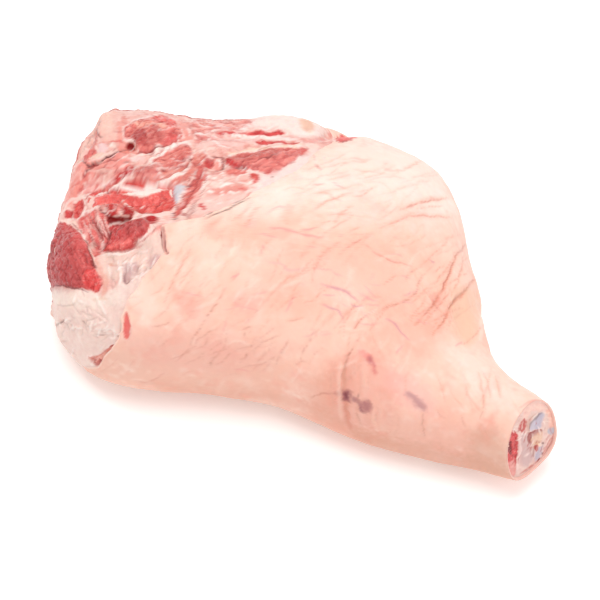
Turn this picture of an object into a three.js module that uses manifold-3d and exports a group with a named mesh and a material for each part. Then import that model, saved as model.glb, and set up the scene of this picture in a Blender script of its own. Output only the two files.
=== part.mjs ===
// A whole fresh leg of pork with its rind, lying on its outer side with the inner side up.
// Millimetres, +X along the leg towards the hock, +Z up, the origin on the floor under its middle.
import * as THREE from "three";
import Module from "manifold-3d";

const wasm = await Module();
wasm.setup();

// The ribs are cross-sections from the hock to the butt. near and far are the widest points of a rib,
// crown is the share of the way from near to far at which it is highest, top and keel are its heights,
// lean is how far it tips along X for each millimetre of height, and square is how boxy its top is.
const RIBS = [
  { near: [265, -76, 48], far: [273, -15, 50], crown: 0.54, top: 90, keel: 20, lean: -0.25, square: 2.0 },
  { near: [230, -82, 44], far: [230, -7, 46], crown: 0.52, top: 88, keel: 8, lean: -0.12, square: 2.1 },
  { near: [192, -96, 42], far: [190, 12, 44], crown: 0.5, top: 93, keel: 1, lean: 0, square: 2.1 },
  { near: [150, -110, 42], far: [156, 56, 44], crown: 0.48, top: 104, keel: -3, lean: 0, square: 2.1 },
  { near: [105, -119, 44], far: [126, 92, 46], crown: 0.46, top: 120, keel: -4, lean: 0, square: 2.1 },
  { near: [60, -128, 46], far: [90, 122, 48], crown: 0.45, top: 132, keel: -4, lean: 0, square: 2.2 },
  { near: [10, -152, 50], far: [50, 146, 52], crown: 0.45, top: 138, keel: -4, lean: 0, square: 2.2 },
  { near: [-38, -180, 50], far: [0, 143, 54], crown: 0.46, top: 138, keel: -4, lean: 0, square: 2.3 },
  { near: [-72, -192, 48], far: [-60, 127, 54], crown: 0.48, top: 130, keel: -4, lean: 0, square: 2.4 },
  { near: [-100, -190, 46], far: [-124, 104, 50], crown: 0.5, top: 118, keel: -4, lean: 0, square: 2.6 },
  { near: [-128, -180, 44], far: [-186, 76, 46], crown: 0.5, top: 104, keel: -4, lean: 0, square: 2.8 },
  { near: [-152, -160, 40], far: [-242, 50, 40], crown: 0.5, top: 86, keel: -2, lean: 0, square: 2.8 },
];
const UNDERSIDE_SQUARE = 3;
const FLOOR_CENTRE = { x: 14.7, y: -22.5 };

// The butt end rounds off beyond the last rib, and its near corner turns in.
const BUTT = { depth: 24, square: 2.4, outX: -0.95, outY: -0.1, cornerX: 0.2, cornerY: 0.8, rows: 9 };

// The sawn hock face lies a little below the rim of rind round it.
const HOCK = { rim: 0.9, recess: 1.5, rows: [0.97, 0.86, 0.55] };

// Rows of the surface along the leg, closer together over the cut meat, and columns round it,
// closer together over the top than underneath.
const SHANK_ROWS = 29;
const CUT_ROWS = 37;
const CUT_STARTS = 0.52;
const TOP_COLUMNS = 44;
const UNDER_COLUMNS = 16;

// Where the rind stops on the upper side: its place along X at each place across, from near to far.
const RIND_EDGE = [
  { y: -196, x: -82 },
  { y: -182, x: -58 },
  { y: -157, x: -63 },
  { y: -109, x: -60 },
  { y: -86, x: -82 },
  { y: -63, x: -54 },
  { y: -28, x: -37 },
  { y: 27, x: -20 },
  { y: 62, x: -23 },
  { y: 105, x: -22 },
];
const RIND_STEP = { drop: 3, width: 5, below: 25, above: 45 };

// Lumps of meat and fat (rise above 0) and the hollows between them (rise under 0): the middle in plan,
// half the length and width, the heading of the length in degrees, and the rise at the middle.
const FORMS = [
  { is: "dark round muscle", x: -136, y: -136, long: 54, wide: 34, turn: -34, rise: 9 },
  { is: "second muscle", x: -103, y: -106, long: 34, wide: 20, turn: 60, rise: 6 },
  { is: "furrow between the two muscles", x: -118, y: -126, long: 34, wide: 8, turn: -34, rise: -5 },
  { is: "dark pocket", x: -127, y: -95, long: 15, wide: 10, turn: 36, rise: -7 },
  { is: "loin eye", x: -140, y: -37, long: 22, wide: 15, turn: 36, rise: 4 },
  { is: "furrow above the pelvis", x: -130, y: -52, long: 40, wide: 8, turn: 25, rise: -4 },
  { is: "corner lobe", x: -220, y: -10, long: 50, wide: 28, turn: 70, rise: 5 },
  { is: "open vein hole", x: -180, y: -12, long: 11, wide: 9, turn: 0, rise: -8 },
  { is: "upper muscle", x: -162, y: 12, long: 38, wide: 20, turn: 36, rise: 5 },
  { is: "furrow of the red strips", x: -88, y: 48, long: 50, wide: 9, turn: 36, rise: -5 },
  { is: "flank fat slab", x: -74, y: 88, long: 46, wide: 22, turn: 20, rise: 7 },
  { is: "notch beside the rind", x: -36, y: 88, long: 14, wide: 9, turn: 90, rise: -5 },
  { is: "wedge muscle", x: -54, y: 20, long: 40, wide: 15, turn: 44, rise: 4 },
  { is: "vessel dip", x: -89, y: -3, long: 14, wide: 11, turn: 36, rise: -5 },
  { is: "near fat", x: -112, y: -174, long: 46, wide: 18, turn: -20, rise: 4 },
  { is: "rind fold at the knee", x: 168, y: 2, long: 32, wide: 12, turn: -54, rise: -4 },
  { is: "ridge beside that fold", x: 176, y: 22, long: 34, wide: 9, turn: -54, rise: 3 },
  { is: "long crease to the knee", x: 140, y: -4, long: 42, wide: 6, turn: -15, rise: -2.5 },
  { is: "near wall fold", x: 124, y: -108, long: 34, wide: 9, turn: -60, rise: -2.5 },
  { is: "ridge beside the wall fold", x: 108, y: -112, long: 34, wide: 10, turn: -60, rise: 1.5 },
];
const FORM_FADE = { below: 22, above: 48 };

// The bones: a path through the middle from the sawn end, half sizes across and up at each point of it,
// how boxy the section is, and how far the end stands out of its socket.
const BONE_GAP = 0.3;
const SOCKET_PAST_FACE = 12;
const BONE_SIDES = 16;
const BONE_STEPS = 3;
const SHANK_BONE = {
  path: [[264.6, -36.6, 65], [235, -38, 60], [190, -38, 56], [150, -36, 58]],
  across: [8.6, 8, 9.5, 12],
  up: [8, 7.5, 9.5, 12],
  square: 2.3,
  proud: 0.2,
};
const HEEL_BONE = {
  path: [[271.8, -39.4, 34], [248, -41, 33], [215, -44, 33]],
  across: [5.6, 5.6, 6.5],
  up: [8, 7, 6.5],
  square: 2.3,
  proud: 0.2,
};
const AITCH_BONE = {
  path: [[-172, -80, 86], [-152, -74, 95], [-130, -66, 102], [-110, -54, 109], [-90, -46, 114.5]],
  across: [7, 9.5, 10.5, 11, 9],
  up: [7, 8.5, 9, 9.5, 9],
  square: 3,
  proud: 0,
};

const ribValues = RIBS.map((rib) => [
  ...rib.near,
  ...rib.far,
  rib.crown,
  rib.top,
  rib.keel,
  rib.lean,
  rib.square,
]);

// A smooth step from 0 at low to 1 at high.
function smoothStep(low, high, value) {
  return THREE.MathUtils.smoothstep(value, low, high);
}

// The rib at share u of the way from the hock to the butt, on a Catmull-Rom curve through the ribs.
function ribAt(u) {
  const last = ribValues.length - 1;
  const place = Math.min(Math.max(u, 0), 1) * last;
  const i = Math.min(Math.floor(place), last - 1);
  const t = place - i;
  const mirrored = (a, b) => a.map((value, k) => 2 * value - b[k]);
  const p1 = ribValues[i];
  const p2 = ribValues[i + 1];
  const p0 = i > 0 ? ribValues[i - 1] : mirrored(p1, p2);
  const p3 = i < last - 1 ? ribValues[i + 2] : mirrored(p2, p1);
  return p1.map((_, k) => {
    const slope = (p2[k] - p0[k]) * t;
    const bend = (2 * p0[k] - 5 * p1[k] + 4 * p2[k] - p3[k]) * t * t;
    const twist = (3 * p1[k] - p0[k] - 3 * p2[k] + p3[k]) * t * t * t;
    return 0.5 * (2 * p1[k] + slope + bend + twist);
  });
}

// A cosine or sine pushed outwards into a boxier curve.
function boxy(value, square) {
  return Math.sign(value) * Math.abs(value) ** (2 / square);
}

// The smooth body's point on rib u, at an angle that starts on the far side and turns over the top.
function sidePoint(u, angle) {
  const [nearX, nearY, nearZ, farX, farY, farZ, crown, top, keel, lean, square] = ribAt(u);
  const near = new THREE.Vector3(nearX, nearY, nearZ);
  const far = new THREE.Vector3(farX, farY, farZ);
  const middle = near.clone().lerp(far, crown);
  const power = Math.sin(angle) > 0 ? square : UNDERSIDE_SQUARE;
  const across = boxy(Math.cos(angle), power);
  const height = boxy(Math.sin(angle), power);
  const reach = across < 0 ? middle.clone().sub(near) : far.clone().sub(middle);
  const rise = height * (height > 0 ? top - middle.z : middle.z - keel);
  const point = middle.clone().addScaledVector(reach, across);
  point.x += lean * rise;
  point.z += rise;
  return point;
}

// Angles round a rib, spread evenly over the top and, more widely, over the underside.
function columnAngles() {
  const over = Array.from({ length: TOP_COLUMNS }, (_, j) => (Math.PI * j) / TOP_COLUMNS);
  const under = Array.from({ length: UNDER_COLUMNS }, (_, j) => Math.PI * (1 + j / UNDER_COLUMNS));
  return [...over, ...under];
}

// Shares of the way along the leg, with the rows over the cut meat closer together.
function rowShares() {
  const shank = Array.from({ length: SHANK_ROWS }, (_, i) => (CUT_STARTS * i) / SHANK_ROWS);
  const cut = Array.from({ length: CUT_ROWS + 1 }, (_, i) => CUT_STARTS + ((1 - CUT_STARTS) * i) / CUT_ROWS);
  return [...shank, ...cut];
}

function middleOf(ring) {
  const sum = ring.reduce((total, point) => total.add(point), new THREE.Vector3());
  return sum.divideScalar(ring.length);
}

// The rows that round the butt off beyond the last rib.
function buttRows(ring, angles) {
  const centre = middleOf(ring);
  return Array.from({ length: BUTT.rows }, (_, i) => {
    const turn = (Math.PI / 2) * ((i + 1) / (BUTT.rows + 0.35));
    const inwards = boxy(Math.cos(turn), BUTT.square);
    const outwards = BUTT.depth * boxy(Math.sin(turn), BUTT.square);
    return ring.map((point, j) => {
      const corner = inwards * Math.max(0, -Math.cos(angles[j])) ** 2;
      const push = new THREE.Vector3(
        BUTT.outX + BUTT.cornerX * corner,
        BUTT.outY + BUTT.cornerY * corner,
        0,
      );
      return centre.clone().lerp(point, inwards).addScaledVector(push, outwards);
    });
  });
}

// The rows of the sawn hock face, from its middle out to the rim.
function hockRows(ring) {
  const centre = middleOf(ring);
  const spoke = ring[0].clone().sub(centre);
  const other = ring[Math.round(TOP_COLUMNS / 2)].clone().sub(centre);
  const inwards = other.cross(spoke).normalize();
  return HOCK.rows
    .map((share) => {
      const sunk = share < HOCK.rim ? HOCK.recess : 0;
      return ring.map((point) => centre.clone().lerp(point, share).addScaledVector(inwards, sunk));
    })
    .reverse();
}

// How far the rind's edge lies along X at a place across the leg.
function rindEdgeAt(y) {
  const after = RIND_EDGE.findIndex((stop) => stop.y > y);
  if (after === 0) return RIND_EDGE[0].x;
  if (after < 0) return RIND_EDGE[RIND_EDGE.length - 1].x;
  const from = RIND_EDGE[after - 1];
  const to = RIND_EDGE[after];
  return THREE.MathUtils.mapLinear(y, from.y, to.y, from.x, to.x);
}

// One form's rise at a point: full at its middle, fading to nothing on its outline's ellipse.
function formRise(form, point) {
  const turn = THREE.MathUtils.degToRad(form.turn);
  const dx = point.x - form.x;
  const dy = point.y - form.y;
  const along = (dx * Math.cos(turn) + dy * Math.sin(turn)) / form.long;
  const across = (dy * Math.cos(turn) - dx * Math.sin(turn)) / form.wide;
  const spread = along * along + across * across;
  return spread < 1 ? form.rise * (1 - spread) ** 2 : 0;
}

// All relief at a point of the smooth body: the forms and the step down from the rind to the meat.
function reliefAt(point) {
  const forms = FORMS.reduce((total, form) => total + formRise(form, point), 0);
  const past = rindEdgeAt(point.y) - point.x;
  const step = RIND_STEP.drop * smoothStep(0, RIND_STEP.width, past);
  const formShare = smoothStep(FORM_FADE.below, FORM_FADE.above, point.z);
  const stepShare = smoothStep(RIND_STEP.below, RIND_STEP.above, point.z);
  return forms * formShare - step * stepShare;
}

// Each point of the rows moved out by the relief, along the surface's own normal, none under the floor.
function withRelief(rows) {
  const count = rows[0].length;
  return rows.map((row, i) =>
    row.map((point, j) => {
      const along = rows[Math.min(i + 1, rows.length - 1)][j].clone().sub(rows[Math.max(i - 1, 0)][j]);
      const round = row[(j + 1) % count].clone().sub(row[(j + count - 1) % count]);
      const outwards = along.cross(round).normalize();
      const moved = point.clone().addScaledVector(outwards, reliefAt(point));
      moved.z = Math.max(moved.z, 0);
      return moved;
    }),
  );
}

// A closed surface through rows of points, ended by a fan at each end, with its faces outwards.
function closedSkin(rows) {
  const count = rows[0].length;
  const points = rows.flat();
  const first = points.push(middleOf(rows[0])) - 1;
  const last = points.push(middleOf(rows[rows.length - 1])) - 1;
  const index = [];
  for (let j = 0; j < count; j += 1) {
    const next = (j + 1) % count;
    const end = (rows.length - 1) * count;
    index.push(first, j, next);
    index.push(last, end + next, end + j);
    for (let i = 0; i < rows.length - 1; i += 1) {
      const here = i * count;
      const there = here + count;
      index.push(here + j, there + j, there + next);
      index.push(here + j, there + next, here + next);
    }
  }
  return new THREE.BufferGeometry().setFromPoints(points).setIndex(index);
}

// A bone: boxy ovals along a smooth path, grown all round for its socket, its first end carried out of
// the meat by proud.
function boneGeometry(bone, grow, proud) {
  const path = new THREE.CatmullRomCurve3(bone.path.map((place) => new THREE.Vector3(...place)));
  const steps = BONE_STEPS * (bone.path.length - 1);
  const overhead = new THREE.Vector3(0, 0, 1);
  const rows = Array.from({ length: steps + 1 }, (_, i) => {
    const t = i / steps;
    const place = t * (bone.path.length - 1);
    const from = Math.min(Math.floor(place), bone.path.length - 2);
    const across = grow + THREE.MathUtils.lerp(bone.across[from], bone.across[from + 1], place - from);
    const up = grow + THREE.MathUtils.lerp(bone.up[from], bone.up[from + 1], place - from);
    const heading = path.getTangent(t);
    const side = heading.clone().cross(overhead).normalize();
    const above = side.clone().cross(heading);
    const centre = path.getPoint(t);
    if (i === 0) centre.addScaledVector(heading, -proud);
    if (i === steps) centre.addScaledVector(heading, grow);
    return Array.from({ length: BONE_SIDES }, (_, j) => {
      const angle = (2 * Math.PI * j) / BONE_SIDES;
      return centre
        .clone()
        .addScaledVector(side, across * boxy(Math.cos(angle), bone.square))
        .addScaledVector(above, up * boxy(Math.sin(angle), bone.square));
    });
  });
  return closedSkin(rows);
}

// A solid bounded by a closed surface, whichever way round its faces were listed.
function solidFrom(geometry) {
  const vertProperties = geometry.attributes.position.array;
  const triVerts = new Uint32Array(geometry.index.array);
  const solid = new wasm.Manifold(new wasm.Mesh({ numProp: 3, vertProperties, triVerts }));
  if (solid.volume() > 0) return solid;
  triVerts.reverse();
  return new wasm.Manifold(new wasm.Mesh({ numProp: 3, vertProperties, triVerts }));
}

function geometryFrom(solid) {
  const mesh = solid.getMesh();
  const geometry = new THREE.BufferGeometry();
  geometry.setAttribute("position", new THREE.BufferAttribute(mesh.vertProperties, 3));
  geometry.setIndex(new THREE.BufferAttribute(mesh.triVerts, 1));
  geometry.computeVertexNormals();
  return geometry;
}

const finish = (color, roughness) => new THREE.MeshStandardMaterial({ color, roughness, metalness: 0 });
const rind = finish("#f0cdb9", 0.5);
const bone = finish("#e6dcdc", 0.45);

function legSolid() {
  const angles = columnAngles();
  const sides = rowShares().map((u) => angles.map((angle) => sidePoint(u, angle)));
  const skin = withRelief([...sides, ...buttRows(sides[sides.length - 1], angles)]);
  return solidFrom(closedSkin([...hockRows(skin[0]), ...skin]));
}

function boneSolid(sizes) {
  return solidFrom(boneGeometry(sizes, 0, sizes.proud));
}

function socketSolid(sizes, pastEnd) {
  return solidFrom(boneGeometry(sizes, BONE_GAP, pastEnd));
}

const pork = new THREE.Group();
pork.position.set(-FLOOR_CENTRE.x, -FLOOR_CENTRE.y, 0);

function addNode(name, solid, material) {
  const mesh = new THREE.Mesh(geometryFrom(solid), material);
  mesh.name = name;
  pork.add(mesh);
}

addNode(
  "leg",
  legSolid()
    .subtract(socketSolid(SHANK_BONE, SOCKET_PAST_FACE))
    .subtract(socketSolid(HEEL_BONE, SOCKET_PAST_FACE))
    .subtract(socketSolid(AITCH_BONE, BONE_GAP)),
  rind,
);
addNode("shank_bone", boneSolid(SHANK_BONE), bone);
addNode("heel_bone", boneSolid(HEEL_BONE), bone);
addNode("aitch_bone", boneSolid(AITCH_BONE), bone);

export default pork;
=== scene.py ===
"""A raw leg of pork dressed round its solids: rind, meat at the butt cut, sawn hock and bones."""
import logging
import math
from collections.abc import Callable
from dataclasses import dataclass, field
from enum import Enum

import bpy
import numpy as np
from mathutils import Matrix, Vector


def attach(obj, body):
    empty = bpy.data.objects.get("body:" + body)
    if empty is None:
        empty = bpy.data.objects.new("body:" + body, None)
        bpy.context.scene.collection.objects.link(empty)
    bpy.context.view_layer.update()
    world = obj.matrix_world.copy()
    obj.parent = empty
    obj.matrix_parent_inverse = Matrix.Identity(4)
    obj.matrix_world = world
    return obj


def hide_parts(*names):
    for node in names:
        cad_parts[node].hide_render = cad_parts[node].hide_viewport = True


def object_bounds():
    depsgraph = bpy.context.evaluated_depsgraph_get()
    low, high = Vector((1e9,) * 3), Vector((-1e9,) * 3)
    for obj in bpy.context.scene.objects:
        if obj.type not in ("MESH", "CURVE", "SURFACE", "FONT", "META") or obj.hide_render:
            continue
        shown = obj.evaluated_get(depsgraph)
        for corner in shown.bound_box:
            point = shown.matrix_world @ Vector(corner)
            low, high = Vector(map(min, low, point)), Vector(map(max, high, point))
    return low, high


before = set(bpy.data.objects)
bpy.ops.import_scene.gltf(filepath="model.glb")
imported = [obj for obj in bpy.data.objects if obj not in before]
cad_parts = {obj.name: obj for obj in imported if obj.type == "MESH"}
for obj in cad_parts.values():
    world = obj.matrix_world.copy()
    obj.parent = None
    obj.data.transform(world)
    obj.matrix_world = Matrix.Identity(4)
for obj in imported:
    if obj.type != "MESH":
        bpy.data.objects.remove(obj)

LOG = logging.getLogger("pork_leg")
MM = 0.001
Array = np.ndarray
Pixels = tuple[tuple[float, float], ...]

# The middle of the leg's floor, in the millimetres that the ribs are given in.
FLOOR_CENTRE = np.array([14.7, -22.5, 0.0])


@dataclass(frozen=True)
class Rib:
    """One cross-section of the leg: its widest points and its heights, in millimetres."""

    near: tuple[float, float, float]
    far: tuple[float, float, float]
    crown: float
    top: float
    keel: float
    lean: float = 0.0
    square: float = 2.1

    def values(self) -> list[float]:
        """The rib's numbers in one row."""
        return [*self.near, *self.far, self.crown, self.top, self.keel, self.lean, self.square]


# From the hock to the butt.
RIBS = (
    Rib((265, -76, 48), (273, -15, 50), 0.54, 90, 20, -0.25, 2.0),
    Rib((230, -82, 44), (230, -7, 46), 0.52, 88, 8, -0.12),
    Rib((192, -96, 42), (190, 12, 44), 0.50, 93, 1),
    Rib((150, -110, 42), (156, 56, 44), 0.48, 104, -3),
    Rib((105, -119, 44), (126, 92, 46), 0.46, 120, -4),
    Rib((60, -128, 46), (90, 122, 48), 0.45, 132, -4, square=2.2),
    Rib((10, -152, 50), (50, 146, 52), 0.45, 138, -4, square=2.2),
    Rib((-38, -180, 50), (0, 143, 54), 0.46, 138, -4, square=2.3),
    Rib((-72, -192, 48), (-60, 127, 54), 0.48, 130, -4, square=2.4),
    Rib((-100, -190, 46), (-124, 104, 50), 0.50, 118, -4, square=2.6),
    Rib((-128, -180, 44), (-186, 76, 46), 0.50, 104, -4, square=2.8),
    Rib((-152, -160, 40), (-242, 50, 40), 0.50, 86, -2, square=2.8),
)


def smooth_step(low: float | Array, high: float | Array, value: Array) -> Array:
    """A smooth rise from 0 at low to 1 at high: 3t squared less 2t cubed."""
    t = np.clip((value - low) / (high - low), 0.0, 1.0)
    return t * t * (3.0 - 2.0 * t)


def boxy(value: Array, square: float | Array) -> Array:
    """A sine or cosine pushed out into a boxier curve: its size to the power 2 / square."""
    return np.sign(value) * np.abs(value) ** (2.0 / square)


def unit(vectors: Array) -> Array:
    """The vectors at length one."""
    return vectors / (np.linalg.norm(vectors, axis=-1, keepdims=True) + 1e-12)


class Noise:
    """Smooth random values that fill space, from lattices drawn once from a seed."""

    CELLS = 32

    def __init__(self, seed: int) -> None:
        """Draws the lattice."""
        self.lattice = np.random.default_rng(seed).uniform(-1.0, 1.0, (self.CELLS,) * 3)

    def at(self, points: Array, size: float, layers: int = 1) -> Array:
        """Values between about -1 and 1, blended between lattice corners by smooth steps.

        Args:
            points: places in millimetres, the last axis holding x, y, z.
            size: the width of a bump in millimetres.
            layers: how many times the pattern is added at half the width and half the strength.

        Returns:
            One value for each place.
        """
        total, strength = np.zeros(points.shape[:-1]), 1.0
        for layer in range(layers):
            place = points * (2.0**layer / size) + 17.3 * layer + 500.0
            cell = np.floor(place).astype(int)
            share = place - cell
            share = share * share * (3.0 - 2.0 * share)
            value = np.zeros(points.shape[:-1])
            for corner in np.ndindex(2, 2, 2):
                weight = np.prod(np.where(corner, share, 1.0 - share), axis=-1)
                x, y, z = np.moveaxis((cell + corner) % self.CELLS, -1, 0)
                value += weight * self.lattice[x, y, z]
            total += strength * value
            strength *= 0.5
        return total


@dataclass(frozen=True)
class Form:
    """A lump (rise above 0) or hollow of the flesh: an ellipse in plan that fades to its outline."""

    name: str
    x: float
    y: float
    long: float
    wide: float
    turn: float
    rise: float

    def at(self, points: Array) -> Array:
        """Its rise at each point: rise times one less the squared distance, all squared."""
        turn = math.radians(self.turn)
        dx, dy = points[..., 0] - self.x, points[..., 1] - self.y
        along = (dx * math.cos(turn) + dy * math.sin(turn)) / self.long
        across = (dy * math.cos(turn) - dx * math.sin(turn)) / self.wide
        return self.rise * np.clip(1.0 - along**2 - across**2, 0.0, 1.0) ** 2


FORMS = (
    Form("dark round muscle", -136, -136, 54, 34, -34, 9),
    Form("second muscle", -103, -106, 34, 20, 60, 6),
    Form("furrow between the two muscles", -118, -126, 34, 8, -34, -5),
    Form("dark pocket", -127, -95, 15, 10, 36, -7),
    Form("loin eye", -140, -37, 22, 15, 36, 4),
    Form("furrow above the pelvis", -130, -52, 40, 8, 25, -4),
    Form("corner lobe", -220, -10, 50, 28, 70, 2.5),
    Form("open vein hole", -180, -12, 11, 9, 0, -8),
    Form("upper muscle", -162, 12, 38, 20, 36, 5),
    Form("furrow of the red strips", -88, 48, 50, 9, 36, -5),
    Form("flank fat slab", -74, 88, 46, 22, 20, 7),
    Form("notch beside the rind", -36, 88, 14, 9, 90, -5),
    Form("wedge muscle", -54, 20, 40, 15, 44, 4),
    Form("vessel dip", -89, -3, 14, 11, 36, -5),
    Form("near fat", -112, -174, 46, 18, -20, 4),
    Form("rind fold at the knee", 168, 2, 32, 12, -54, -4),
    Form("ridge beside that fold", 176, 22, 34, 9, -54, 3),
    Form("long crease to the knee", 140, -4, 42, 6, -15, -2.5),
    Form("near wall fold", 124, -108, 34, 9, -60, -2.5),
    Form("ridge beside the wall fold", 108, -112, 34, 10, -60, 1.5),
    Form("low far edge of the cut", -158, 68, 66, 26, 24, -11),
    Form("tight back of the knee", 128, 86, 62, 26, -54, -6),
    Form("tight side of the knee", 172, 34, 34, 18, -54, -4),
    Form("deep end of the notch", -42, 108, 24, 12, 70, -12),
    Form("dip where the rind starts", -30, 116, 34, 15, 78, -8),
)


class LegForm:
    """The leg's smooth body: a surface over w along it (0 hock, 1 last rib, 2 butt) and an angle round it."""

    UNDERSIDE_SQUARE = 3.0
    BUTT_DEPTH = 24.0
    BUTT_SQUARE = 2.4
    BUTT_OUT = (-0.95, -0.1)
    BUTT_CORNER = (0.2, 0.8)
    FORM_FADE = (22.0, 48.0)
    EDGE_Y = (-196, -182, -157, -109, -86, -63, -28, 27, 62, 105)
    EDGE_X = (-82, -58, -63, -60, -82, -54, -37, -20, -23, -22)
    EDGE_SEARCH = (0.35, 0.92, 400)
    # Where the edge of the rind runs on the sides and underneath: w at angles in degrees from the far side.
    FAR_EDGE = (
        (0.0, 0.98), (6.0, 0.92), (12.0, 0.84), (20.0, 0.745), (28.0, 0.695), (39.0, 0.672), (50.0, 0.666),
    )
    NEAR_EDGE = (
        *((144.0, 0.694), (151.5, 0.686), (160.0, 0.682), (168.5, 0.694), (179.0, 0.718), (184.0, 0.745)),
        *((195.0, 0.81), (208.0, 0.94), (224.0, 1.12), (250.0, 1.3), (300.0, 1.34), (340.0, 1.15)),
    )

    def __init__(self) -> None:
        """Lays the ribs in one table."""
        self.table = np.array([rib.values() for rib in RIBS], float)

    def rib_at(self, w: Array) -> Array:
        """The rib values at w, on a Catmull-Rom curve through the ribs."""
        table = self.table
        ends = (2 * table[:1] - table[1:2], table, 2 * table[-1:] - table[-2:-1])
        table, last = np.vstack(ends), len(table) - 1
        place = np.clip(w, 0.0, 1.0) * last
        i = np.minimum(place.astype(int), last - 1)
        t = (place - i)[..., None]
        p0, p1, p2, p3 = (table[i + k] for k in range(4))
        bend = (2 * p0 - 5 * p1 + 4 * p2 - p3) * t**2
        twist = (3 * p1 - p0 - 3 * p2 + p3) * t**3
        return 0.5 * (2 * p1 + (p2 - p0) * t + bend + twist)

    def side(self, w: Array, angle: Array) -> Array:
        """Points of the sides: boxy half ovals from the widest points up to the crown and down to the keel."""
        rib = self.rib_at(w)
        near, far = rib[..., 0:3], rib[..., 3:6]
        middle = near + rib[..., 6:7] * (far - near)
        top, keel, lean = rib[..., 7], rib[..., 8], rib[..., 9]
        power = np.where(np.sin(angle) > 0, rib[..., 10], self.UNDERSIDE_SQUARE)
        across, height = boxy(np.cos(angle), power), boxy(np.sin(angle), power)
        reach = np.where(across[..., None] < 0, middle - near, far - middle)
        rise = height * np.where(height > 0, top - middle[..., 2], middle[..., 2] - keel)
        points = middle + across[..., None] * reach
        points[..., 0] += lean * rise
        points[..., 2] += rise
        return points

    def surface(self, w: Array, angle: Array) -> Array:
        """Points of the whole body: the sides up to w = 1, then the butt rounding off to its pole at 2."""
        points = self.side(w, angle)
        round_angles = np.linspace(0.0, 2 * math.pi, 240, endpoint=False)
        centre = self.side(np.ones(240), round_angles).mean(axis=0)
        turn = 0.5 * math.pi * np.clip(w - 1.0, 0.0, 1.0)
        inwards = boxy(np.cos(turn), self.BUTT_SQUARE)
        outwards = self.BUTT_DEPTH * boxy(np.sin(turn), self.BUTT_SQUARE)
        corner = inwards * np.maximum(0.0, -np.cos(angle)) ** 2
        push = np.stack([self.BUTT_OUT[k] + self.BUTT_CORNER[k] * corner for k in (0, 1)], -1)
        capped = centre + inwards[..., None] * (points - centre)
        capped[..., :2] += outwards[..., None] * push
        return np.where((w > 1.0)[..., None], capped, points)

    def edge_w(self, angle: Array) -> Array:
        """Where the rind stops at each angle: on the upper side where its edge line crosses, in plan."""
        low, high, count = self.EDGE_SEARCH
        steps = np.linspace(low, high, count)
        ws, angles = np.meshgrid(steps, angle, indexing="ij")
        points = self.side(ws, angles)
        past = points[..., 0] - np.interp(points[..., 1], self.EDGE_Y, self.EDGE_X)
        crossed = np.argmax(past < 0, axis=0)
        upper = steps[np.where(crossed == 0, count - 1, crossed)]
        degrees = np.degrees(angle)
        far = np.interp(degrees, *zip(*self.FAR_EDGE))
        near = np.interp(degrees, *zip(*self.NEAR_EDGE, (360.0, self.FAR_EDGE[0][1])))
        mix = smooth_step(40.0, 50.0, degrees)
        edge = far * (1 - mix) + upper * mix
        mix = smooth_step(146.0, 156.0, degrees)
        return edge * (1 - mix) + near * mix

    def forms(self, points: Array) -> Array:
        """The rise of all forms, fading out down the walls."""
        total = sum(form.at(points) for form in FORMS)
        return total * smooth_step(*self.FORM_FADE, points[..., 2])


def grid_normals(grid: Array) -> Array:
    """Outward normals of a grid that closes round its second axis."""
    along = np.gradient(grid, axis=0)
    around = np.roll(grid, -1, axis=1) - np.roll(grid, 1, axis=1)
    return unit(np.cross(around, along) * -1.0)


class View:
    """The photograph's view: which pixel of its 600 x 600 a point of the leg falls on."""

    AZIMUTH = 36.0
    ELEVATION = 50.0
    DISTANCE = 1900.0
    PIXEL = 0.9
    HALF_FRAME = 300.0

    def __init__(self) -> None:
        """Works out the directions back to the eye, right and up."""
        a, e = math.radians(self.AZIMUTH), math.radians(self.ELEVATION)
        self.back = np.array([math.sin(a) * math.cos(e), -math.cos(a) * math.cos(e), math.sin(e)])
        self.right = np.array([math.cos(a), math.sin(a), 0.0])
        self.up = np.cross(self.back, self.right)

    def pixels(self, points: Array) -> Array:
        """The pixel, across and down, of each point."""
        nearer = self.DISTANCE / (self.DISTANCE - points @ self.back) / self.PIXEL
        return np.stack(
            [self.HALF_FRAME + points @ self.right * nearer, self.HALF_FRAME - points @ self.up * nearer], -1
        )

    def facing(self, points: Array, normals: Array) -> Array:
        """How squarely each point faces the eye, from -1 to 1."""
        return np.sum(unit(self.back * self.DISTANCE - points) * normals, axis=-1)

    def lens(self) -> float:
        """The focal length in millimetres for Blender's 36 mm sensor."""
        return 18.0 * self.DISTANCE / (self.HALF_FRAME * self.PIXEL)


def path_distance(pixels: Array, path: Pixels) -> tuple[Array, Array]:
    """The distance in pixels to a path of straight runs, and the share of the way along at the nearest place."""
    corners = np.array(path, float)
    lengths = np.linalg.norm(np.diff(corners, axis=0), axis=1)
    starts = np.concatenate([[0.0], np.cumsum(lengths)])
    best, share = np.full(pixels.shape[:-1], np.inf), np.zeros(pixels.shape[:-1])
    for k, (a, b) in enumerate(zip(corners[:-1], corners[1:])):
        t = np.clip((pixels - a) @ (b - a) / (lengths[k] ** 2 + 1e-9), 0.0, 1.0)
        gap = np.linalg.norm(pixels - a - t[..., None] * (b - a), axis=-1)
        closer = gap < best
        best = np.where(closer, gap, best)
        share = np.where(closer, (starts[k] + t * lengths[k]) / starts[-1], share)
    return best, share


def outline_depth(pixels: Array, outline: Pixels) -> Array:
    """How deep inside a closed outline each pixel is; negative outside it."""
    corners = np.array(outline, float)
    gap, _ = path_distance(pixels, (*outline, outline[0]))
    inside = np.zeros(pixels.shape[:-1], bool)
    x, y = pixels[..., 0], pixels[..., 1]
    for (ax, ay), (bx, by) in zip(corners, np.roll(corners, -1, axis=0)):
        if ay != by:
            inside ^= ((ay > y) != (by > y)) & (x < (bx - ax) * (y - ay) / (by - ay) + ax)
    return np.where(inside, gap, -gap)


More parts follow.
